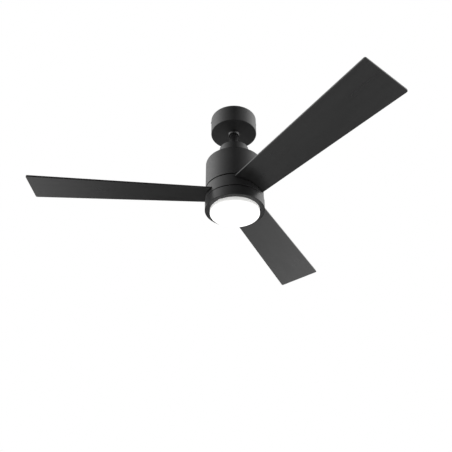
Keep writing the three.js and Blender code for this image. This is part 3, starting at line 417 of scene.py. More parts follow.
def screw(shank, length, pitch, head=0.0, head_height=0.0, across=2.0, socket=1.0):
    """A socket screw along Z: the underside of its head is at z = 0 and its shank runs down. The
    surface is r(z, a) for a round the axis. The thread is r = shank - depth |wave(z / pitch - a /
    turn)|, where wave is a triangle wave that fades at both ends, and the socket has the radius of
    a hexagon."""
    a = np.arange(COLUMNS) * TURN / COLUMNS
    low, high = -length + 0.5 * pitch, -0.5 * pitch
    z = np.linspace(low, high, max(8, round((high - low) / pitch * 6)))
    phase = z[:, None] / pitch - a / TURN
    wave = np.abs(2 * (phase % 1) - 1)
    fade = np.clip(np.minimum(z - low, high - z) / pitch, 0, 1)[:, None]
    thread = shank - THREAD_DEPTH * shank * pitch * fade * wave
    ring = np.ones(COLUMNS)
    rows = [
        (0 * ring, -length), (0.72 * shank * ring, -length), (shank * ring, low - 0.1 * pitch),
    ]
    rows += list(zip(thread, z))
    top = head_height
    if head:
        edge = 0.3 * head_height
        rows += [(shank * ring, high + 0.2 * pitch), (shank * ring, 0)]
        rows += [((head - 0.2) * ring, 0), (head * ring, 0.2)]
        t = np.linspace(0, TURN / 4, 5)
        rows += [
            ((head - edge + edge * np.cos(v)) * ring, top - edge + edge * np.sin(v)) for v in t
        ]
    hexagon = six_sided(across, a)
    rows += [(hexagon + 0.25, top), (hexagon, top - 0.2), (hexagon, top - socket),
             (0 * ring, top - socket - 0.25 * across)]
    radius = np.stack([row[0] for row in rows])
    height = np.array([row[1] for row in rows])[:, None] * ring
    return skin(np.stack([radius * np.cos(a), radius * np.sin(a), height], -1), along=False)


def cross_pin(low, high, head=()):
    """A round pin from x = low to x = high with chamfered ends, and the outline of its head if it
    has one."""
    c = PIN_CHAMFER
    shank = [(PIN_RADIUS, high - c), (PIN_RADIUS - c, high), (0, high)]
    start = list(head) or [(0, low), (PIN_RADIUS - c, low), (PIN_RADIUS, low + c)]
    return turned(start + shank, 48, closed=False)


fit("ball_pin", [along_x(cross_pin(pin_low[0], pin_high[0]), ball_pin_height)],
    [bright])


def set_screw(node, length, height):
    """A headless screw whose tip bears on the rod from the front."""
    threaded = screw(SET_SCREW_RADIUS, length, pitch=1.0, across=2.6, socket=3.0)
    threaded = moved(threaded, Matrix.Translation((0, 0, length)))
    fit(node, [from_front(threaded, height)], [bright])


set_screw("ball_set_screw", -BALL_BORE - extents("ball_set_screw")[0][1], ball_centre)


# Terminal block: white moulded plastic on the bracket's leg, with three ways for the
# mains leads. A slotted steel screw in each well clamps its wire.

pale_plastic = finish(
    "white_plastic", (0.70, 0.69, 0.66), (0.78, 0.77, 0.74), 60, (0.38, 0.5), 900, 0.00003,
)
block_low, block_high = extents("terminal_block")
BLOCK_EDGE = 0.5
WELL_SPACING = 30 / 3.2
WELL_DEPTH = 2.6
CLAMP_RADIUS = 2.1
CLAMP_LENGTH = 3.0
CLAMP_SLOT = 0.9
CLAMP_SLOT_HALF = 0.4
block_middle = (block_low[0] + block_high[0]) / 2
eased("terminal_block", pale_plastic, BLOCK_EDGE)
clamp = turned(rounded([
    (AXIS, -CLAMP_LENGTH), (CLAMP_RADIUS, -CLAMP_LENGTH), (CLAMP_RADIUS, 0), (AXIS, 0),
], 0.4), 36)
slot = block((-CLAMP_LENGTH, -CLAMP_SLOT_HALF, -CLAMP_SLOT), (CLAMP_LENGTH, CLAMP_SLOT_HALF, 1))
clamps, slots = [], []
for way, quarter in ((-1, -0.1), (0, 0.4), (1, 0.9)):
    well = Matrix.Translation((block_middle, way * WELL_SPACING, block_high[2] - WELL_DEPTH))
    clamps.append(moved(clamp, well))
    slots.append(moved(slot, well @ Matrix.Rotation(quarter, 4, "Z")))


def rides_with(piece, node):
    """An extra piece that moves with a CAD node."""
    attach(piece, body_of(node))


rides_with(built("terminal_screws", clamps, [bright], cuts=slots), "terminal_block")


# Supply cable and plug: a black two-core cable with a white plug that the installer joins
# to the block's leads. It runs down the rod past both pins to the drive board.

def plate(outline, thickness, edge, steps=4):
    """A flat board: the outline, pulled in towards its inner side by edge (1 - cos t) at the height
    thickness / 2 - edge (1 - sin t), for t from 0 to a quarter turn, above and below."""
    inward = np.roll(outline, -1, 0) - np.roll(outline, 1, 0)
    inward = np.stack([-inward[:, 1], inward[:, 0]], -1)
    inward /= np.linalg.norm(inward, axis=1)[:, None]
    t = np.linspace(0, TURN / 4, steps + 1)
    pull = edge * (1 - np.cos(t))
    height = thickness / 2 - edge * (1 - np.sin(t))
    pull = np.concatenate([pull[::-1], pull])
    height = np.concatenate([-height[::-1], height])
    grid = np.concatenate([
        outline[None] + pull[:, None, None] * inward[None],
        np.broadcast_to(height[:, None, None], (len(pull), len(outline), 1)),
    ], -1)
    points, faces = skin(grid, along=False)
    count = len(outline)
    last = (len(pull) - 1) * count
    return points, faces + [list(range(count))[::-1], list(range(last, last + count))]


def brick(low, high, corner, edge):
    """A moulded block between two corners, with rounded upright corners and eased edges."""
    low, high = np.array(low, float), np.array(high, float)
    x, y, z = (high - low) / 2
    outline = rounded([(-x, -y), (x, -y), (x, y), (-x, y)], corner, steps=5)
    return moved(plate(outline, 2 * z, edge), Matrix.Translation((low + high) / 2))


def along_path(path, radius, sides=16):
    """A round section carried along a path: each point is p + radius (u cos a + v sin a), where u
    and v are square to the path's direction there. Its ends are eased."""
    ahead = np.gradient(path, axis=0)
    ahead /= np.linalg.norm(ahead, axis=1)[:, None]
    u = np.cross(ahead, (1, 0.7, 1))
    u /= np.linalg.norm(u, axis=1)[:, None]
    v = np.cross(ahead, u)
    a = np.arange(sides) * TURN / sides
    round_it = u[:, None] * np.cos(a)[:, None] + v[:, None] * np.sin(a)[:, None]
    grid = path[:, None] + radius * round_it
    start = [(grid[[0]] - path[0]) * share + path[0] for share in (0, 0.8)]
    end = [(grid[[-1]] - path[-1]) * share + path[-1] for share in (0.8, 0)]
    return skin(np.concatenate([*start, grid, *end]), along=False)


def routed(corners, bend=8.0, steps=7):
    """Straight runs between corners, joined by bent curves "bend" long each way."""
    corners = np.array(corners, float)
    corner = corners[1:-1]
    back, ahead = corners[:-2] - corner, corners[2:] - corner
    near, far = np.linalg.norm(back, axis=1)[:, None], np.linalg.norm(ahead, axis=1)[:, None]
    reach = np.minimum(bend, 0.45 * np.minimum(near, far))
    s = np.linspace(0, 1, steps)[None, :, None]
    curve = bent(corner + back / near * reach, corner, corner + ahead / far * reach, s)
    return np.concatenate([corners[:1], curve.reshape(-1, 3), corners[-1:]])


dark_plastic = finish(
    "black_plastic", (0.012, 0.012, 0.012), (0.02, 0.02, 0.02), 80, (0.42, 0.55), 1200, 0.00003,
)
SUPPLY_RADIUS = 2.5
LEAD_GAP = 0.8
PLUG_REACH = 34.0
PLUG_CORNER = 1.2
GRIP_DEPTH = 0.5
GRIP_HALF = 0.4
GRIP_MARGIN = 1.5
plug_low, plug_high = extents("supply_plug")
clevis_low, clevis_high = extents("coupling_pin")
shaft_low, shaft_high = extents("motor_shaft")
cable_low = extents("supply_cable")[0]
clevis_height = (clevis_low[2] + clevis_high[2]) / 2
plug_height = (plug_low[2] + plug_high[2]) / 2
cable_height = cable_low[2] + SUPPLY_RADIUS
beside_pins = -(PIN_RADIUS + SUPPLY_RADIUS + LEAD_GAP)
supply_path = routed([
    (0, plug_high[1] + FIT, plug_height),
    (0, beside_pins, plug_height),
    (0, beside_pins, clevis_height - PIN_RADIUS - 2),
    (0, 0, shaft_high[2] + 3),
    (0, 0, cable_height),
    (PLUG_REACH - FIT, 0, cable_height),
])
fit("supply_cable", [along_path(supply_path, SUPPLY_RADIUS)], [dark_plastic],
    sharp=50)
grips = [
    block((side * plug_high[0] - GRIP_DEPTH, y - GRIP_HALF, plug_low[2] + GRIP_MARGIN),
          (side * plug_high[0] + GRIP_DEPTH, y + GRIP_HALF, plug_high[2] - GRIP_MARGIN))
    for side in (-1, 1) for y in np.linspace(plug_low[1] + 3, plug_low[1] + 9, 5)
]
fit("supply_plug", [brick(plug_low, plug_high, PLUG_CORNER, 0.7)], [pale_plastic],
    cuts=grips)


# Downrod: a length of steel tube, powder-coated. Its cross pins hold it in the ball at
# the top and in the motor's coupling at the bottom.

powder_coat = finish(
    "satin_black_powder_coat", (0.011, 0.011, 0.0115), (0.016, 0.016, 0.0165), 22, (0.36, 0.46),
    900, 0.00006,
)
ROD_WALL = 2.7
rod_profile = rounded([
    (rod_radius - ROD_WALL, rod_low[2]),
    (rod_radius, rod_low[2]),
    (rod_radius, rod_high[2]),
    (rod_radius - ROD_WALL, rod_high[2]),
], 0.5)
fit("downrod", [turned(rod_profile, 96)], [powder_coat], cuts=[
    along_x(cylinder(PIN_ROOM, -PAST, PAST), height) for height in (ball_pin_height, clevis_height)
])


# Canopy: a deep dish of 1.2 mm steel that hides the hanger. It is spun on a lathe,
# powder-coated satin black, and held to the bracket's ears by a screw on each side.

canopy_low, canopy_high = extents("canopy")
collar_low, collar_high = extents("canopy_collar")
CANOPY_WALL = 1.2
CANOPY_FLOOR = 1.5
COLLAR_WALL = 3.5
COLLAR_NECK = 1.2
COLLAR_LIP = 0.5
COLLAR_TAPER = 2.9
COLLAR_EASE = 0.4
CANOPY_SCREW_HEIGHT = -13.0
CANOPY_SCREW_SHANK = 2.0
canopy_radius = canopy_high[0]
canopy_top, canopy_bottom = canopy_high[2], canopy_low[2]
collar_radius = collar_high[0]
collar_hole = collar_radius - COLLAR_WALL
neck_radius = collar_hole + COLLAR_NECK


def cup(hole, radius, base, rim, wall, floor, edges, steps=4):
    """The section of a turned cup from the hole in its base out to its wall, up to its rim and
    back along the inside. The floor's thickness points from base to rim."""
    return rounded([
        (hole, base),
        (radius, base),
        (radius, rim),
        (radius - wall, rim),
        (radius - wall, base + floor),
        (hole, base + floor),
    ], edges, steps)


canopy_profile = cup(neck_radius + FIT, canopy_radius, canopy_bottom, canopy_top, CANOPY_WALL,
                     CANOPY_FLOOR, [0.4, 2.0, 0.4, 0.3, 1.2, 0.4], steps=5)
fit("canopy", [turned(canopy_profile, 180)], [powder_coat], cuts=[
    along_x(cylinder(CANOPY_SCREW_SHANK + FIT, -canopy_radius - PAST, canopy_radius + PAST),
            CANOPY_SCREW_HEIGHT),
])
canopy_screw = screw(CANOPY_SCREW_SHANK, 7, pitch=0.7, head=3.4, head_height=0.8, across=2.5,
                     socket=0.5)
for number, side in enumerate((-1, 1)):
    place = Matrix.Translation((side * (canopy_radius + FIT), 0, CANOPY_SCREW_HEIGHT)) @ (
        Matrix.Rotation(side * TURN / 4, 4, "Y"))
    fit(f"canopy_screw_{number + 1}", [moved(canopy_screw, place)], [powder_coat])


# Collar: a turned ring pressed into the canopy's hole. It finishes the edge where the
# rod comes out, and leaves the rod room to swing.

collar_profile = rounded([
    (collar_hole, collar_low[2] + COLLAR_LIP),
    (collar_hole + COLLAR_LIP, collar_low[2]),
    (collar_radius - COLLAR_TAPER + COLLAR_EASE, collar_low[2] + COLLAR_EASE),
    (collar_radius, canopy_bottom - FIT),
    (neck_radius, canopy_bottom - FIT),
    (neck_radius, collar_high[2]),
    (collar_hole, collar_high[2]),
], [0.3, 0.25, 0.3, 0.2, 0.2, 0.3, 0.3])
gloss_coat = finish(
    "gloss_black_coat", (0.014, 0.014, 0.0145), (0.02, 0.02, 0.0205), 60, (0.16, 0.22), 500,
    0.00002, IOR=1.6,
)
fit("canopy_collar", [turned(collar_profile, 96)], [gloss_coat])


# Motor coupling: an aluminium casting, bored and screwed on the motor's shaft. The rod
# stands in its socket, a clevis pin goes through both, and its flange carries the housing.

coupling_low, coupling_high = extents("motor_coupling")
housing_low, housing_high = extents("motor_housing")
COUPLING_WALL = 5.6
COUPLING_FLANGE = 5.0
SHAFT_HOLE = 10.3
HOUSING_WALL = 1.6
HOUSING_SCREW_SHANK = 2.0
HOUSING_SCREW_OFFSET = 7.5
COUPLING_SET_DEPTH = 26.64
coupling_radius = BALL_BORE + COUPLING_WALL
socket_floor = rod_low[2] - FIT
flange_top = coupling_low[2] + COUPLING_FLANGE
HOUSING_SCREW_CIRCLE = coupling_radius + HOUSING_SCREW_OFFSET
housing_screw_places = [(0, side * HOUSING_SCREW_CIRCLE, 0) for side in (-1, 1)]


def upright(part, places):
    """The same part at each of these places."""
    return [moved(part, Matrix.Translation(place)) for place in places]


def zinc_screws(name, part, places):
    """A zinc-plated screw at each of these places, numbered from 1."""
    for number, placed_screw in enumerate(upright(part, places)):
        fit(f"{name}_{number + 1}", [placed_screw], [zinc])


coupling_profile = rounded([
    (SHAFT_HOLE, coupling_low[2]),
    (coupling_high[0], coupling_low[2]),
    (coupling_high[0], flange_top),
    (coupling_radius, flange_top),
    (coupling_radius, coupling_high[2]),
    (BALL_BORE, coupling_high[2]),
    (BALL_BORE, socket_floor),
    (SHAFT_HOLE, socket_floor),
], [0.5, 0.8, 0.8, 0.3, 1.2, 0.6, 0.3, 0.4])
set_height = coupling_high[2] - COUPLING_SET_DEPTH
fit("motor_coupling", [turned(coupling_profile, 96)], [cast], cuts=[
    along_x(cylinder(PIN_ROOM, -PAST, PAST), clevis_height),
    from_front(cylinder(SET_SCREW_RADIUS + FIT, -TOOL_START, COUPLING_WALL + TOOL_START),
               set_height),
    *upright(cylinder(HOUSING_SCREW_SHANK + FIT, coupling_low[2] - 1, flange_top + 1),
             housing_screw_places),
])
set_screw("coupling_set_screw", COUPLING_WALL + 1, set_height)


# Clevis pin and its clip: a bright steel pin with a head on its left, kept in by a
# hairpin of spring wire whose straight leg goes through a hole in its right end.

CLIP_WIRE = 0.8
CLIP_HOLE = CLIP_WIRE + FIT
CLIP_OUT = 4.2
PIN_HEAD = PIN_RADIUS + 1.8
clip_x = coupling_radius + CLIP_OUT
head_outer, head_inner = clevis_low[0], -coupling_radius - FIT
clevis_pin = cross_pin(head_outer, clevis_high[0], head=[
    (0, head_outer), (PIN_HEAD - 0.7, head_outer), (PIN_HEAD - 0.2, head_outer + 0.2),
    (PIN_HEAD, head_outer + 0.7), (PIN_HEAD, head_inner - 0.3), (PIN_HEAD - 0.3, head_inner),
    (PIN_RADIUS, head_inner),
])
fit("coupling_pin", [along_x(clevis_pin, clevis_height)], [bright], cuts=upright(
    cylinder(CLIP_HOLE, clevis_height - PIN_HEAD, clevis_height + PIN_HEAD), [(clip_x, 0, 0)],
))


def smooth_path(points, steps=8):
    """A curve through every point: between two points it is half of (2b + (c-a)s + (2a-5b+4c-d)s^2
    + (3b-a-3c+d)s^3), with a and d the points before and after them."""
    p = np.array(points, float)
    p = np.concatenate([2 * p[:1] - p[1:2], p, 2 * p[-1:] - p[-2:-1]])
    a, b, c, d = (p[k:len(p) - 3 + k, None] for k in range(4))
    s = np.linspace(0, 1, steps, endpoint=False)[None, :, None]
    curve = 2 * b + (c - a) * s
    curve += (2 * a - 5 * b + 4 * c - d) * s ** 2 + (3 * b - a - 3 * c + d) * s ** 3
    return np.concatenate([curve.reshape(-1, 3) / 2, p[-2:-1]])


bow = PIN_RADIUS + CLIP_WIRE + FIT
hairpin = [
    (0, -9), (0, 0), (0, 9), (0.6, 12.4), (3, 14), (5.6, 12.4), (bow + 1, 8), (bow - 0.6, 5),
    (bow + 0.4, 0), (bow - 0.4, -4.5), (bow + 1.6, -8),
]
clip_path = smooth_path([(clip_x, out, clevis_height + up) for out, up in hairpin])
fit("coupling_clip", [along_path(clip_path, CLIP_WIRE, 12)], [bright], sharp=50)


# Coupling cover: a deep-drawn steel cup that slides down the rod over the coupling and
# rests on the motor housing. It is powder-coated like the rest.

cover_low, cover_high = extents("coupling_cover")
COVER_WALL = 1.2
COVER_EDGE = 3.4
ROD_ROOM = 0.8
cover_radius = cover_high[0]
cover_profile = cup(rod_radius + ROD_ROOM, cover_radius, cover_high[2], cover_low[2], COVER_WALL,
                    -COVER_WALL, [0.4, COVER_EDGE, 0.4, 0.4, COVER_EDGE - COVER_WALL, 0.3], steps=6)
fit("coupling_cover", [turned(cover_profile, 144)], [powder_coat])


# Motor housing: a drawn steel drum with a rounded shoulder, fixed to the coupling's
# flange by two zinc-plated screws. It hides the motor and its drive, and doesn't turn.

HOUSING_SHOULDER = 7.5
SHADE_EDGE = 0.5
housing_radius = housing_high[0]
housing_hole = coupling_radius + FIT
# Painted shade: a near-black finish for inside faces, standing in for the dark of the gaps between
# housing, hub and light can.
painted_shade_black = finish(
    "painted_shade_black_finish", (0.002, 0.002, 0.002), (0.004, 0.004, 0.004), 22, (0.85, 0.95), 500,
    0.00002, IOR=1.15,
)


def paint_shade_inside(piece, radius, top):
    """Painted shade: a near-black second finish on the faces under "top" whose middle is inside the
    outer wall, so the gaps between parts read dark.
    """
    faces = len(piece.data.polygons)
    middle, number = np.empty(faces * 3), np.empty(faces, dtype=np.int32)
    piece.data.polygons.foreach_get("center", middle)
    piece.data.polygons.foreach_get("material_index", number)
    x, y, z = middle.reshape(-1, 3).T * 1000
    number[(np.hypot(x, y) < radius - SHADE_EDGE) & (z < top + SHADE_EDGE)] = 1
    piece.data.polygons.foreach_set("material_index", number)


housing_profile = cup(
    housing_hole, housing_radius, housing_high[2], housing_low[2], HOUSING_WALL, -HOUSING_WALL,
    [0.4, HOUSING_SHOULDER, 0.5, 0.5, HOUSING_SHOULDER - HOUSING_WALL, 0.3], steps=8,
)
motor_housing = fit(
    "motor_housing", [turned(housing_profile, 216)], [powder_coat, painted_shade_black],
    cuts=upright(cylinder(HOUSING_SCREW_SHANK + FIT, housing_high[2] - PAST, PAST),
                 housing_screw_places),
)
# Painted shade: the housing's inside faces take the near-black finish.
paint_shade_inside(motor_housing, housing_radius, housing_high[2] - HOUSING_WALL)
housing_screw = screw(HOUSING_SCREW_SHANK, 5, pitch=0.7, head=3.8, head_height=2.4, across=3.0,
                      socket=1.6)
zinc_screws("housing_screw", housing_screw,
            [(x, y, housing_high[2] + FIT) for x, y, _ in housing_screw_places])


# Motor drive: a ring-shaped circuit board in a black moulded tray. It carries a choke
# wound with copper, three capacitors, three power stages and a socket for each cable.

tray_low, tray_high = extents("controller_tray")
board_low, board_high = extents("controller_board")
TRAY_WALL = 2.0
TRAY_FLOOR = 1.5
BOARD_THICKNESS = 1.6
BOARD_HOLE = 27.0
TALLEST = 9.0
circuit = finish(
    "circuit_board", (0.012, 0.09, 0.04), (0.03, 0.16, 0.07), 300, (0.3, 0.5), 900, 0.00004,
)
copper = finish(
    "enamelled_copper", (0.46, 0.15, 0.05), (0.72, 0.30, 0.12), 500, (0.22, 0.34), 900, 0.00008,
    metallic=1.0,
)
tray_profile = cup(SHAFT_HOLE, tray_high[0], tray_low[2], tray_high[2], TRAY_WALL, TRAY_FLOOR,
                   [0.4, 1.5, 0.4, 0.4, 0.8, 0.4])
fit("controller_tray", [turned(tray_profile, 180)], [dark_plastic])
board_top = board_low[2] + BOARD_THICKNESS
board_middle = (BOARD_HOLE + board_high[0]) / 2


def on_board(part, degrees, material=0):
    """A component on the board's middle circle, at an angle, in one of the board's finishes."""
    place = Matrix.Rotation(math.radians(degrees), 4, "Z") @ (
        Matrix.Translation((board_middle, 0, board_top)))
    return *moved(part, place), material


def choke(major, minor, turns):
    """A copper-wound ring lying flat: a torus whose section swells at each turn of wire, to the
    radius minor (0.9 + 0.1 |sin(turns a / 2)|)."""
    a = np.linspace(0, TURN, turns * 6, endpoint=False)[:, None]
    b = np.linspace(0, TURN, 20, endpoint=False)[None]
    section = minor * (0.9 + 0.1 * np.abs(np.sin(turns * a / 2)))
    out = major + section * np.cos(b)
    grid = np.stack([out * np.cos(a), out * np.sin(a), minor + section * np.sin(b)], -1)
    return skin(grid)


CAN = 5.4
bare_board = turned(rounded([
    (BOARD_HOLE, board_low[2]), (board_high[0], board_low[2]), (board_high[0], board_top),
    (BOARD_HOLE, board_top),
], 0.2))
capacitor = turned(rounded([
    (AXIS, 0), (CAN, 0), (CAN, 1.6), (CAN - 0.4, 2.0), (CAN, 2.4), (CAN, TALLEST), (AXIS, TALLEST),
], 0.4), 40)
power_stage = brick((-5, -4, 0), (5, 4, 3), 0.4, 0.4)
lead_socket = brick((PLUG_REACH - board_middle, -6, 0), (PLUG_REACH - board_middle + 10, 6, 8),
                    0.5, 0.4)
fit("controller_board", [
    (*bare_board, 0),
    on_board(choke(6.0, 3.0, 30), -75, 1),
    *[on_board(capacitor, degrees, 2) for degrees in (50, 75, 100)],
    *[on_board(power_stage, degrees, 2) for degrees in (-150, -135, -120)],
    *[on_board(lead_socket, degrees, 3) for degrees in (0, 180)],
], [circuit, copper, dark_plastic, pale_plastic])


# Motor shaft: a hollow steel tube that doesn't turn. Its windows let the cables in from
# the drive, its lower end is threaded for the nut, and spacers hold the bearings apart.

nut_low, nut_high = extents("shaft_nut")
SHAFT_BORE = 6.0
SHAFT_THREAD = 1.5
WINDOW_HALF = SUPPLY_RADIUS + 1
WINDOW_TALL = SUPPLY_RADIUS + 5
NUT_ACROSS = 30.0
SHAFT_GROOVE = 0.7
SHAFT_EDGE = 0.6
thread_rows = np.arange(shaft_low[2] + 1, nut_high[2], SHAFT_THREAD / 2)
shaft_radius = shaft_high[0]
shaft_profile = np.concatenate([
    [(SHAFT_BORE, shaft_low[2]), (shaft_radius - SHAFT_GROOVE - 0.1, shaft_low[2])],
    np.stack([shaft_radius - SHAFT_GROOVE * (np.arange(len(thread_rows)) % 2), thread_rows], -1),
    [(shaft_radius, thread_rows[-1] + SHAFT_THREAD), (shaft_radius, shaft_high[2] - SHAFT_EDGE),
     (shaft_radius - SHAFT_EDGE, shaft_high[2]), (SHAFT_BORE, shaft_high[2])],
])
fit("motor_shaft", [turned(shaft_profile, 72)], [zinc], cuts=[
    block((-PAST, -WINDOW_HALF, cable_height - WINDOW_TALL),
          (PAST, WINDOW_HALF, cable_height + WINDOW_TALL)),
])


def nut(across, low, high):
    """A hexagon nut: its radius is the hexagon's, or at each end the chamfer's circle where that
    is less."""
    a = np.arange(144) * TURN / 144
    hexagon = six_sided(across, a)
    circle = across / 2
    rows = [(SHAFT_HOLE, low + 0.5), (SHAFT_HOLE + 0.5, low), (circle - 0.3, low)]
    rows += [(circle + 0.25 + k, low + 0.2 + 0.55 * k) for k in np.linspace(0, 2.2, 6)]
    rows += [(r, low + high - z) for r, z in rows[::-1]]
    radius = np.stack([np.minimum(r, hexagon) for r, _ in rows])
    height = np.array([z for _, z in rows])[:, None] * np.ones(len(a))
    return skin(np.stack([radius * np.cos(a), radius * np.sin(a), height], -1))


fit("shaft_nut", [nut(NUT_ACROSS, nut_low[2], nut_high[2])], [zinc], sharp=25)


def ring_between(node, inner, corner=0.4, facets=96):
    """A turned ring that fills a node's box, outside the inner radius."""
    low, high = extents(node)
    return turned(rounded([
        (inner, low[2]), (high[0], low[2]), (high[0], high[2]), (inner, high[2]),
    ], corner), facets)


for spacer in ("upper_spacer", "lower_spacer"):
    fit(spacer, [ring_between(spacer, SHAFT_HOLE)], [zinc])


# Bearings: two sealed ball bearings of bright ground steel. The inner race stays on the
# shaft, and the outer race and its shields turn with the rotor.

RACE_WALL = 4.0
OUTER_RACE = 3.0
SEAL_RAMP = 1.2
SEAL_DISH = 0.25
SEAL_GAP = 0.6
SEAL_INSET = 0.8
race_shoulder = SHAFT_HOLE + RACE_WALL + SEAL_GAP
for name in ("upper", "lower"):
    inner_race, outer_race = f"{name}_bearing_inner_race", f"{name}_bearing_outer_race"
    fit(inner_race, [ring_between(inner_race, SHAFT_HOLE, 0.5)], [bright])
    low, high = extents(outer_race)
    outer = high[0]
    bottom = [
        (race_shoulder, low[2] + SEAL_INSET),
        (outer - OUTER_RACE - SEAL_RAMP, low[2] + SEAL_INSET + SEAL_DISH),
        (outer - OUTER_RACE, low[2] + SEAL_INSET),
        (outer - OUTER_RACE, low[2]),
        (outer, low[2]),
    ]
    top = [(r, low[2] + high[2] - z) for r, z in bottom[::-1]]
    edges = [0.1, 0.3, 0.1, 0.3, 0.6]
    fit(outer_race, [turned(rounded(bottom + top, edges + edges[::-1]), 96)], [bright])


# Stator: a stack of half-millimetre silicon-steel stampings with twelve teeth, pressed on
# the shaft, and a coil of enamelled copper wire round each tooth.

laminations = finish(
    "silicon_steel", (0.16, 0.17, 0.18), (0.32, 0.33, 0.35), 240, (0.4, 0.6), 2000, 0.0001,
    metallic=1.0, lines=(2000, 0.8, 0.9),
)
windings = finish(
    "wound_copper", (0.40, 0.13, 0.045), (0.72, 0.30, 0.12), 500, (0.22, 0.34), 900, 0.0002,
    metallic=1.0, lines=(1100, 0.8, 0.9),
)
CORE_EDGE = 0.25
COIL_EDGE = 1.2
eased("stator_core", laminations, CORE_EDGE)
eased("stator_winding", windings, COIL_EDGE)


# Rotor: a cast-aluminium bell and its bolted-on cover, which run on the bearings round
# the stator. Fourteen ferrite magnets are glued inside the bell.

bell_low, bell_high = extents("rotor_bell")
end_low, end_high = extents("rotor_cover")
magnet_low, magnet_high = extents("rotor_magnets")
ROTOR_WALL = 4.0
BELL_WEB = 4.0
BELL_LIP = 2.0
BEARING_WIDTH = 12.0
END_PLATE = 4.0
BOSS_WALL = 3.5
SPACER_ROOM = 1.5
MAGNETS = 14
MAGNET_THICKNESS = 6.2
GLUE = 0.01
MAGNET_SPACE = 1.2                 # degrees between two magnets
HUB_SCREW_CIRCLE = 34.0
HUB_SCREW_SHANK = 2.5
rotor_radius = bell_high[0]
bearing_hole = extents("upper_bearing_outer_race")[1][0] + FIT
bearing_boss = bearing_hole + BOSS_WALL
spacer_hole = extents("upper_spacer")[1][0] + SPACER_ROOM
bearing_end = bell_high[2] - BELL_LIP - BEARING_WIDTH
fit("rotor_bell", [turned(rounded([
    (spacer_hole, bell_high[2]),
    (rotor_radius, bell_high[2]),
    (rotor_radius, bell_low[2]),
    (rotor_radius - ROTOR_WALL, bell_low[2]),
    (rotor_radius - ROTOR_WALL, bell_high[2] - BELL_WEB),
    (bearing_boss, bell_high[2] - BELL_WEB),
    (bearing_boss, bearing_end),
    (bearing_hole, bearing_end),
    (bearing_hole, bell_high[2] - BELL_LIP + FIT),
    (spacer_hole, bell_high[2] - BELL_LIP + FIT),
], [0.4, 4.5, 0.5, 0.5, 1.5, 1.5, 0.6, 0.5, 0.2, 0.3]), 180)], [cast])
hub_screw_places = [
    (HUB_SCREW_CIRCLE * math.cos(a), HUB_SCREW_CIRCLE * math.sin(a), 0)
    for a in np.arange(3) * TURN / 3
]
fit("rotor_cover", [turned(rounded([
    (bearing_hole, end_low[2]),
    (end_high[0], end_low[2]),
    (end_high[0], end_low[2] + END_PLATE),
    (bearing_boss, end_low[2] + END_PLATE),
    (bearing_boss, end_high[2]),
    (bearing_hole, end_high[2]),
], [0.5, 0.8, 0.5, 1.2, 0.5, 0.5]), 180)], [cast], cuts=upright(
    cylinder(HUB_SCREW_SHANK + FIT, end_low[2] - 1, end_high[2]), hub_screw_places,
))


def prism(outline, low, high):
    """A flat outline carried from one height to another."""
    count = len(outline)
    grid = np.stack([np.concatenate([outline, np.full((count, 1), z)], 1) for z in (low, high)])
    points, faces = skin(grid, along=False)
    return points, faces + [list(range(count))[::-1], list(range(count, 2 * count))]


def sector(inner, outer, low, high, middle, width, steps=8):
    """A block of a ring between two radii and two heights, "width" degrees wide about "middle"."""
    a = np.radians(np.linspace(middle - width / 2, middle + width / 2, steps + 1))
    out = np.stack([np.cos(a), np.sin(a)], -1)
    return prism(np.concatenate([outer * out, inner * out[::-1]]), low, high)


ferrite = finish(
    "ferrite", (0.035, 0.036, 0.038), (0.06, 0.062, 0.066), 120, (0.6, 0.75), 800, 0.00006,
)
magnet_steps = np.arange(MAGNETS) * 360 / MAGNETS
fit("rotor_magnets", [
    sector(magnet_high[0] - MAGNET_THICKNESS, magnet_high[0] - GLUE, magnet_low[2], magnet_high[2],
           middle, magnet_steps[1] - MAGNET_SPACE) for middle in magnet_steps
], [ferrite])


# Blades: three flat boards of 5.5 mm plywood in a black laminate, wider towards the tip,
# with eased edges. Each is pitched, and two screws hold its root to the hub's seat.

BLADE_PITCH = math.radians(10.8)
BLADE_THICKNESS = 5.5
BLADE_ROOT = 46.0
BLADE_ROOT_HALF_WIDTH = 50.5
BLADE_TIP_LEADING = 58.6
BLADE_TIP_TRAILING = 85.0
BLADE_TIP_SKEW = 2.0
BLADE_TIP_CORNER = 6.0
BLADE_EDGE = 1.1
BLADE_ROOT_CORNER = 0.5
BLADE_SCREW_CIRCLE = 58.0
BLADE_SCREW_OFFSET = 24.0
BLADE_SCREW_SHANK = 2.2
BLADE_ANGLES = [TURN / 2 + n * TURN / 3 for n in range(3)]
blade_low, blade_high = extents("blade_1")
BLADE_TIP = -blade_low[0] - BLADE_TIP_SKEW
blade_plane = blade_high[2] - BLADE_TIP_LEADING * math.sin(BLADE_PITCH) - (
    BLADE_THICKNESS / 2 * math.cos(BLADE_PITCH))


def blade_outline(margin=0.0):
    """The blade's four corners, x along its radial line and y towards the trailing edge, pushed out
    by the margin."""
    return np.array([
        (BLADE_ROOT - margin, -BLADE_ROOT_HALF_WIDTH - margin),
        (BLADE_TIP + BLADE_TIP_SKEW + margin, -BLADE_TIP_LEADING - margin),
        (BLADE_TIP + margin, BLADE_TIP_TRAILING + margin),
        (BLADE_ROOT - margin, BLADE_ROOT_HALF_WIDTH + margin),
    ])


def on_blade(angle):
    """The place of a blade's own frame in the fan's."""
    return Matrix.Translation((0, 0, blade_plane)) @ Matrix.Rotation(angle, 4, "Z") @ (
        Matrix.Rotation(-BLADE_PITCH, 4, "X"))


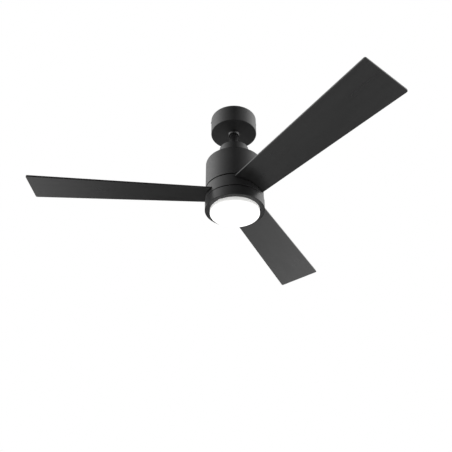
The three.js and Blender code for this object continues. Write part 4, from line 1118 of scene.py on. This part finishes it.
laminate = finish(
    "black_blade_laminate", (0.012, 0.012, 0.0122), (0.017, 0.017, 0.0172), 9, (0.27, 0.35),
    260, 0.00005, stretch=(0.12, 1, 1), uv="along_blade",
)
blade_edges = rounded(blade_outline(), [
    BLADE_ROOT_CORNER, BLADE_TIP_CORNER, BLADE_TIP_CORNER, BLADE_ROOT_CORNER,
], steps=8)
HEAD_DOWN = Matrix.Rotation(TURN / 2, 4, "X")
screw_places = [(BLADE_SCREW_CIRCLE, side * BLADE_SCREW_OFFSET, 0) for side in (-1, 1)]
under_blade = Matrix.Translation((0, 0, -BLADE_THICKNESS / 2 - FIT)) @ HEAD_DOWN
blade_holes = upright(
    cylinder(BLADE_SCREW_SHANK + FIT, -BLADE_THICKNESS, BLADE_THICKNESS), screw_places)
blade_screw = screw(BLADE_SCREW_SHANK, BLADE_THICKNESS + 6, pitch=0.8, head=4.4, head_height=2.6,
                    across=3.0, socket=1.6)
blade_screws = upright(moved(blade_screw, under_blade), screw_places)
for number, angle in enumerate(BLADE_ANGLES):
    place = on_blade(angle)
    board = moved(plate(blade_edges, BLADE_THICKNESS, BLADE_EDGE), place)
    blade = fit(f"blade_{number + 1}", [board], [laminate],
                cuts=[moved(hole, place) for hole in blade_holes])
    corners = np.empty(len(blade.data.loops), int)
    blade.data.loops.foreach_get("vertex_index", corners)
    points = np.empty(len(blade.data.vertices) * 3)
    blade.data.vertices.foreach_get("co", points)
    back = np.array(place.inverted())
    flat = points.reshape(-1, 3) @ back[:3, :3].T
    grain = blade.data.uv_layers.new(name="along_blade")
    grain.data.foreach_set("uv", (flat[corners, :2] + (number, 0)).ravel())
    for n, part in enumerate(blade_screws):
        fit(f"blade_screw_{number + 1}_{n + 1}", [moved(part, place)], [zinc])


# Blade hub: one aluminium casting, turned and powder-coated. Its rim closes the gap
# between housing and light, with a sloping slot for each blade.

hub_low, hub_high = extents("blade_hub")
HUB_WALL = 3.0
HUB_WEB = 2.5
HUB_HOLE = 26.0
HUB_BOSS_HEIGHT = 3.3
HUB_BOSS = HUB_SCREW_CIRCLE + 8
SLOT_GAP = 0.8
SLOT_DROP = 2.0
SEAT_REACH = BLADE_SCREW_OFFSET + 9
SEAT_OVERLAP = 0.5
SCREW_HOLE = 9.0
hub_radius = hub_high[0]
hub_top, hub_bottom = hub_high[2] - HUB_BOSS_HEIGHT, hub_low[2]
hub_profile = rounded([
    (HUB_HOLE, hub_top - HUB_WEB),
    (hub_radius - HUB_WALL, hub_top - HUB_WEB),
    (hub_radius - HUB_WALL, hub_bottom),
    (hub_radius, hub_bottom),
    (hub_radius, hub_top),
    (HUB_BOSS, hub_top),
    (HUB_BOSS, hub_high[2]),
    (HUB_HOLE, hub_high[2]),
], [0.4, 1.5, 0.5, 0.6, 0.6, 1.0, 0.5, 0.5])


def hub_seat(angle):
    """A wedge under the web: four sides down to the plane just over the blade."""
    far = hub_radius - HUB_WALL + SEAT_OVERLAP
    x = np.array([BLADE_ROOT, far, far, BLADE_ROOT] * 2)
    y = np.array([-SEAT_REACH, -SEAT_REACH, SEAT_REACH, SEAT_REACH] * 2)
    over = BLADE_THICKNESS / 2 + FIT
    under = blade_plane + over / math.cos(BLADE_PITCH) - y[:4] * math.tan(BLADE_PITCH)
    z = np.concatenate([under, np.full(4, hub_top - 1)])
    x[[1, 2]] = x[[5, 6]] = math.sqrt(far ** 2 - SEAT_REACH ** 2)
    faces = [[3, 2, 1, 0], [4, 5, 6, 7]]
    faces += [[k, (k + 1) % 4, (k + 1) % 4 + 4, k + 4] for k in range(4)]
    return moved((np.stack([x, y, z], -1), faces), Matrix.Rotation(angle, 4, "Z"))


deep = BLADE_THICKNESS / 2 + SLOT_GAP
blade_cuts = [
    prism(blade_outline(SLOT_GAP), -deep - SLOT_DROP, deep),
    *upright(cylinder(BLADE_SCREW_SHANK + FIT, 0, SCREW_HOLE), screw_places),
]
hub_cuts = [moved(tool, on_blade(angle)) for angle in BLADE_ANGLES for tool in blade_cuts]
hub_cuts += upright(cylinder(HUB_SCREW_SHANK + FIT, hub_top - SCREW_HOLE, hub_high[2] + TOOL_START),
                    hub_screw_places)
blade_hub = fit("blade_hub", [turned(hub_profile, 216)], [powder_coat, painted_shade_black],
                adds=[hub_seat(angle) for angle in BLADE_ANGLES], cuts=hub_cuts)
# Painted shade: the hub's faces inside its outer wall take the near-black finish.
paint_shade_inside(blade_hub, hub_radius, hub_high[2])
hub_screw = screw(HUB_SCREW_SHANK, 12, pitch=0.8, head=4.5, head_height=3.0, across=4.0, socket=2.0)
zinc_screws("hub_screw", moved(hub_screw, HEAD_DOWN),
            [(x, y, hub_top - HUB_WEB - FIT) for x, y, _ in hub_screw_places])


# Light can: a shallow drawn pan that hangs on the shaft's nut and carries the LEDs on
# two posts. The bezel pushed into its open side holds the lens.

can_low, can_high = extents("light_can")
bezel_low, bezel_high = extents("lens_bezel")
lens_low = extents("lens")[0]
LIGHT_WALL = 1.6
LIGHT_TOP = 1.8
light_radius = can_high[0]
can_profile = cup(SHAFT_HOLE, light_radius, can_high[2], can_low[2], LIGHT_WALL, -LIGHT_TOP,
                  [0.3, 0.6, 0.5, 0.3, 0.8, 0.3])
TRAY_TOP = can_low[2] + 10.5
BEZEL_WIDTH = 14.6
LENS_GAP = 0.7
LED_MARGIN = 8.0
POST_MARGIN = 5.0
POST_RADIUS = 4.0
TRAY_SCREW_SHANK = 1.5
TRAY_SCREW_ROOM = 6.0
lens_hole = light_radius - BEZEL_WIDTH
lens_radius = lens_hole - LENS_GAP
led_radius = lens_radius - LED_MARGIN
post_circle = led_radius - POST_MARGIN
tray_screw_places = [(0, post_circle, 0), (0, -post_circle, 0)]
light_can = fit(
    "light_can", [turned(can_profile, 216)], [powder_coat, painted_shade_black],
    adds=upright(cylinder(POST_RADIUS, TRAY_TOP + FIT, can_high[2] - 1), tray_screw_places),
    cuts=upright(cylinder(TRAY_SCREW_SHANK + FIT, TRAY_TOP - 1, TRAY_TOP + TRAY_SCREW_ROOM),
                 tray_screw_places),
)
# Painted shade: the can's inside faces take the near-black finish.
paint_shade_inside(light_can, light_radius, can_high[2])


# LED driver: a white moulded box with a fixing lug at each side, under the can's top.
# A black two-core cable from the motor's drive comes down the shaft to it.

driver_low, driver_high = extents("led_driver")
LUG_WIDTH = 7.0
LUG_LENGTH_HALF = 8.0
LUG_THICKNESS = 2.0
LUG_HOLE = 1.6
VENTS = 8
VENT_WIDTH = 1.0
VENT_DEPTH = 0.6
LIGHT_CABLE_RADIUS = 2.0
driver_middle = (driver_low[0] + driver_high[0]) / 2
driver_half = driver_high[1] - LUG_WIDTH
lug_hole = driver_half + LUG_WIDTH / 2
vents = np.linspace(driver_low[0] + 6, driver_high[0] - 6 - VENT_WIDTH, VENTS)
fit("led_driver", [
    brick((driver_low[0], -driver_half, driver_low[2]),
          (driver_high[0], driver_half, driver_high[2]), 2.0, 0.8),
], [pale_plastic], adds=[
    brick((driver_middle - LUG_LENGTH_HALF, -driver_high[1], driver_high[2] - LUG_THICKNESS),
          (driver_middle + LUG_LENGTH_HALF, driver_high[1], driver_high[2] - 0.05), 2.0, 0.3),
], cuts=[
    *upright(cylinder(LUG_HOLE, driver_high[2] - 5, driver_high[2] + 1),
             [(driver_middle, side * lug_hole, 0) for side in (-1, 1)]),
    *[block((x, -driver_half + 5, driver_low[2] - 1),
            (x + VENT_WIDTH, driver_half - 5, driver_low[2] + VENT_DEPTH)) for x in vents],
])
light_end = extents("light_cable")[0][2] + LIGHT_CABLE_RADIUS
light_path = routed([
    (-PLUG_REACH + FIT, 0, cable_height),
    (0, 0, cable_height),
    (0, 0, light_end),
    (driver_high[0] + FIT, 0, light_end),
])
fit("light_cable", [along_path(light_path, LIGHT_CABLE_RADIUS)], [dark_plastic],
    sharp=50)


# LED tray and board: a round aluminium plate that spreads the heat, and a white circuit
# board on it with eighteen LEDs. Two screws hold both to the can's posts.

LED_TRAY = 1.5
TRAY_BORDER = 2.0
DISC_CORE = 9.0
CHIP_HALF = 1.5
CHIP_HEIGHT = 0.8
SOLDER = 0.05
RINGS = ((0.36, 6), (0.78, 12))    # share of the board's radius, and LEDs on the ring
board_over = extents("led_board")[1][2]
board_under = board_over - BOARD_THICKNESS
tray_holes = upright(cylinder(TRAY_SCREW_SHANK + FIT, can_low[2], can_high[2]), tray_screw_places)


def thin_disc(radius, low, high, edge):
    """A round plate with eased edges. Its profile runs from the axis out along the bottom, and
    back along the top."""
    rim = rounded([(DISC_CORE, low), (radius, low), (radius, high), (DISC_CORE, high)], edge)
    return turned(np.concatenate([[(0, low)], rim, [(0, high)]]), 180, closed=False)


fit("led_tray", [thin_disc(led_radius + TRAY_BORDER, TRAY_TOP - LED_TRAY, TRAY_TOP, 0.3)],
    [cast], cuts=tray_holes)
white_board = finish(
    "white_circuit_board", (0.76, 0.76, 0.75), (0.82, 0.82, 0.81), 40, (0.3, 0.42), 900, 0.00002,
)
phosphor = finish(
    "led_phosphor", (0.78, 0.62, 0.10), (0.86, 0.70, 0.16), 900, (0.45, 0.6), 4000, 0.00002,
)
fit("led_board", [thin_disc(led_radius, board_under, board_over, 0.2)], [white_board],
    cuts=tray_holes)
chip = brick((-CHIP_HALF, -CHIP_HALF, -CHIP_HEIGHT), (CHIP_HALF, CHIP_HALF, -SOLDER), 0.3, 0.15)
chips = []
for share, count in RINGS:
    out = Matrix.Translation((led_radius * share, 0, board_under))
    for a in (np.arange(count) + 0.5) * TURN / count:
        chips.append(moved(chip, Matrix.Rotation(a, 4, "Z") @ out))
rides_with(built("led_chips", chips, [phosphor]), "led_board")
tray_screw = screw(TRAY_SCREW_SHANK, 6, pitch=0.6, head=2.8, head_height=1.4, across=2.0,
                   socket=0.8)
zinc_screws("tray_screw", moved(tray_screw, HEAD_DOWN),
            [(x, y, board_under - FIT) for x, y, _ in tray_screw_places])


# Bezel: the flat black ring round the lens, with a wall that grips the can. Notches in
# its inner edge let the lens's three tabs in, and a stop ends their twist.

BEZEL_WALL = 2.6
BEZEL_LIP = 2.2
LENS_TAB_REACH = 2.2
LENS_TAB_HEIGHT = 2.0
LENS_TAB_ANGLE = 8.0
TAB_GAP = 0.4
NOTCH_ROOM = 0.8
STOP_START = 0.8
STOP_ANGLE = 3.0
LENS_TWIST = 20.0
LENS_TABS = (90, 210, 330)
bezel_radius = bezel_high[0]
lip_top = bezel_low[2] + BEZEL_LIP
tab_low = lip_top + TAB_GAP
tab_high = tab_low + LENS_TAB_HEIGHT
tab_radius = lens_radius + LENS_TAB_REACH
bezel_profile = cup(lens_hole, bezel_radius, bezel_low[2], bezel_high[2], BEZEL_WALL, BEZEL_LIP,
                    [0.3, 0.5, 0.4, 0.4, 0.4, 0.3])
notches = [
    sector(lens_hole - TOOL_START, tab_radius + NOTCH_ROOM, bezel_low[2] - 1, lip_top + 1,
           at + LENS_TWIST, LENS_TAB_ANGLE + 2) for at in LENS_TABS
]
stops = [
    sector(lens_hole + STOP_START, tab_radius, lip_top - 1, tab_high,
           at + LENS_TWIST + LENS_TAB_ANGLE / 2 + STOP_ANGLE, STOP_ANGLE) for at in LENS_TABS
]
fit("lens_bezel", [turned(bezel_profile, 216)], [powder_coat], cuts=notches,
    adds=stops)


# Lens: a shallow dish moulded in opal acrylic, lit from behind by the LEDs. Three tabs
# on its rim hook over the bezel's lip, so it comes out with a short twist.

LENS_WALL = 2.5
TAB_ROOT = 1.5
LENS_EDGE = 4.5
LENS_DIM = 9.0
LENS_FLOOR_START = 20.0
SIDE_LIGHT_HEIGHT = 5.0
MIDDLE_LIGHT = 1.05
RIM_LIGHT = 0.42
SIDE_LIGHT = 0.6
opal = finish(
    "opal_acrylic", (0.90, 0.90, 0.89), (0.94, 0.94, 0.93), 30, (0.24, 0.32), 400, 0.00002,
    IOR=1.49,
)


def lit(material):
    """Light through the lens: full over its face, less in the last few millimetres before its
    edge, and less again up its side wall."""
    tree = material.node_tree
    shader = tree.nodes["Principled BSDF"]
    smooth = {"interpolation_type": "SMOOTHSTEP"}
    xyz = add(tree, "SeparateXYZ", Vector=add(tree, "TexCoord").outputs["Object"]).outputs
    flat = add(tree, "CombineXYZ", X=xyz["X"], Y=xyz["Y"]).outputs["Vector"]
    out = add(tree, "VectorMath", {"operation": "LENGTH"}, flat).outputs["Value"]
    up = add(tree, "MapRange", smooth, Value=xyz["Z"], From_Min=lens_low[2] / 1000,
             From_Max=(lens_low[2] + SIDE_LIGHT_HEIGHT) / 1000, To_Min=1.0, To_Max=SIDE_LIGHT)
    fade = add(tree, "MapRange", smooth, Value=out, From_Min=(lens_radius - LENS_DIM) / 1000,
               From_Max=lens_radius / 1000, To_Min=MIDDLE_LIGHT, To_Max=RIM_LIGHT)
    strength = math_node(tree, "MULTIPLY", up.outputs["Result"], fade.outputs["Result"])
    tree.links.new(strength, shader.inputs["Emission Strength"])
    shader.inputs["Emission Color"].default_value = (1.0, 0.995, 0.985, 1)


lit(opal)
lens_profile = np.concatenate([
    [(0, lens_low[2])],
    rounded([
        (lens_radius - LENS_FLOOR_START, lens_low[2]),
        (lens_radius, lens_low[2]),
        (lens_radius, tab_high),
        (lens_radius - LENS_WALL, tab_high),
        (lens_radius - LENS_WALL, lens_low[2] + LENS_WALL),
        (lens_radius - LENS_FLOOR_START, lens_low[2] + LENS_WALL),
    ], [0.1, LENS_EDGE, 0.5, 0.5, LENS_EDGE - 1, 0.1], steps=6),
    [(0, lens_low[2] + LENS_WALL)],
])
fit("lens", [turned(lens_profile, 216, closed=False)], [opal], adds=[
    sector(lens_radius - TAB_ROOT, tab_radius, tab_low, tab_high, at, LENS_TAB_ANGLE)
    for at in LENS_TABS
])


# Studio: a pale floor a room's height below the ceiling, white all round, a soft box on
# either side, and a camera that looks up at the fan from in front.

FLOOR = -2.75                      # metres, like everything in the studio
FLOOR_HALF = 20.0
floor_mesh = bpy.data.meshes.new("floor")
floor_mesh.from_pydata([
    (x * FLOOR_HALF, y * FLOOR_HALF, FLOOR) for x, y in ((-1, -1), (1, -1), (1, 1), (-1, 1))
], [], [(0, 1, 2, 3)])
floor_mesh.materials.append(finish(
    "pale_floor", (0.78, 0.78, 0.77), (0.80, 0.80, 0.79), 2, (0.6, 0.65), 40, 0.0001,
))
floor = placed("floor", floor_mesh)
floor.visible_glossy = False

# How bright the surroundings are: 0 is straight ahead or behind, and 1 is square to the side.
MOST = 3.0
SOFT_BOX = [
    (0.0, 0.04), (0.1, 0.12), (0.24, 0.5), (0.34, 0.93), (0.54, 1.15), (0.72, 1.95), (0.84, 2.65),
    (1.0, 2.8),
]
WHITE = (1, 1, 1, 1)
world = bpy.data.worlds.new("studio")
bpy.context.scene.world = world
world.use_nodes = True
sky = world.node_tree
surround = sky.nodes["Background"]
surround.inputs["Color"].default_value = WHITE
smooth = {"interpolation_type": "SMOOTHSTEP"}
direction = add(sky, "SeparateXYZ", Vector=add(sky, "TexCoord").outputs["Generated"]).outputs
sideways = add(sky, "ValToRGB", Fac=math_node(sky, "ABSOLUTE", direction["X"]))
ramp = sideways.color_ramp
ramp.interpolation = "EASE"
for spot, _ in SOFT_BOX[1:-1]:
    ramp.elements.new(spot)
for element, (spot, level) in zip(ramp.elements, SOFT_BOX):
    element.position = spot
    element.color = (level / MOST,) * 3 + (1,)
below = add(sky, "MapRange", smooth, Value=direction["Z"], From_Min=-0.25, From_Max=-0.95,
            To_Min=0.0, To_Max=0.38)
ahead = add(sky, "MapRange", smooth, Value=direction["Y"], From_Min=-0.9, From_Max=0.25,
            To_Min=0.4 * MOST, To_Max=MOST)
sky.links.new(
    math_node(sky, "MULTIPLY_ADD", sideways.outputs["Color"], ahead.outputs["Result"],
              below.outputs["Result"]),
    surround.inputs["Strength"],
)
backdrop = add(sky, "Background", Color=WHITE, Strength=1.0)
seen = add(sky, "MixShader", (), add(sky, "LightPath").outputs["Is Camera Ray"],
           surround.outputs[0], backdrop.outputs[0])
sky.links.new(seen.outputs[0], sky.nodes["World Output"].inputs["Surface"])

bpy.context.scene.view_settings.view_transform = "Standard"

CAMERA_PLACE = (-0.1316, -1.4626, -1.3258)
CAMERA_YAW = 0.0716
CAMERA_PITCH = 0.5580
CAMERA_ROLL = -0.0047
CAMERA_LENS = 46.895
camera = placed("camera", bpy.data.cameras.new("camera"))
camera.matrix_world = (
    Matrix.Translation(CAMERA_PLACE) @ Matrix.Rotation(-CAMERA_YAW, 4, "Z")
    @ Matrix.Rotation(TURN / 4 + CAMERA_PITCH, 4, "X") @ Matrix.Rotation(CAMERA_ROLL, 4, "Z")
)
camera.data.lens = CAMERA_LENS
camera.data.sensor_width = 36
camera.data.clip_start = 0.05
bpy.context.scene.camera = camera
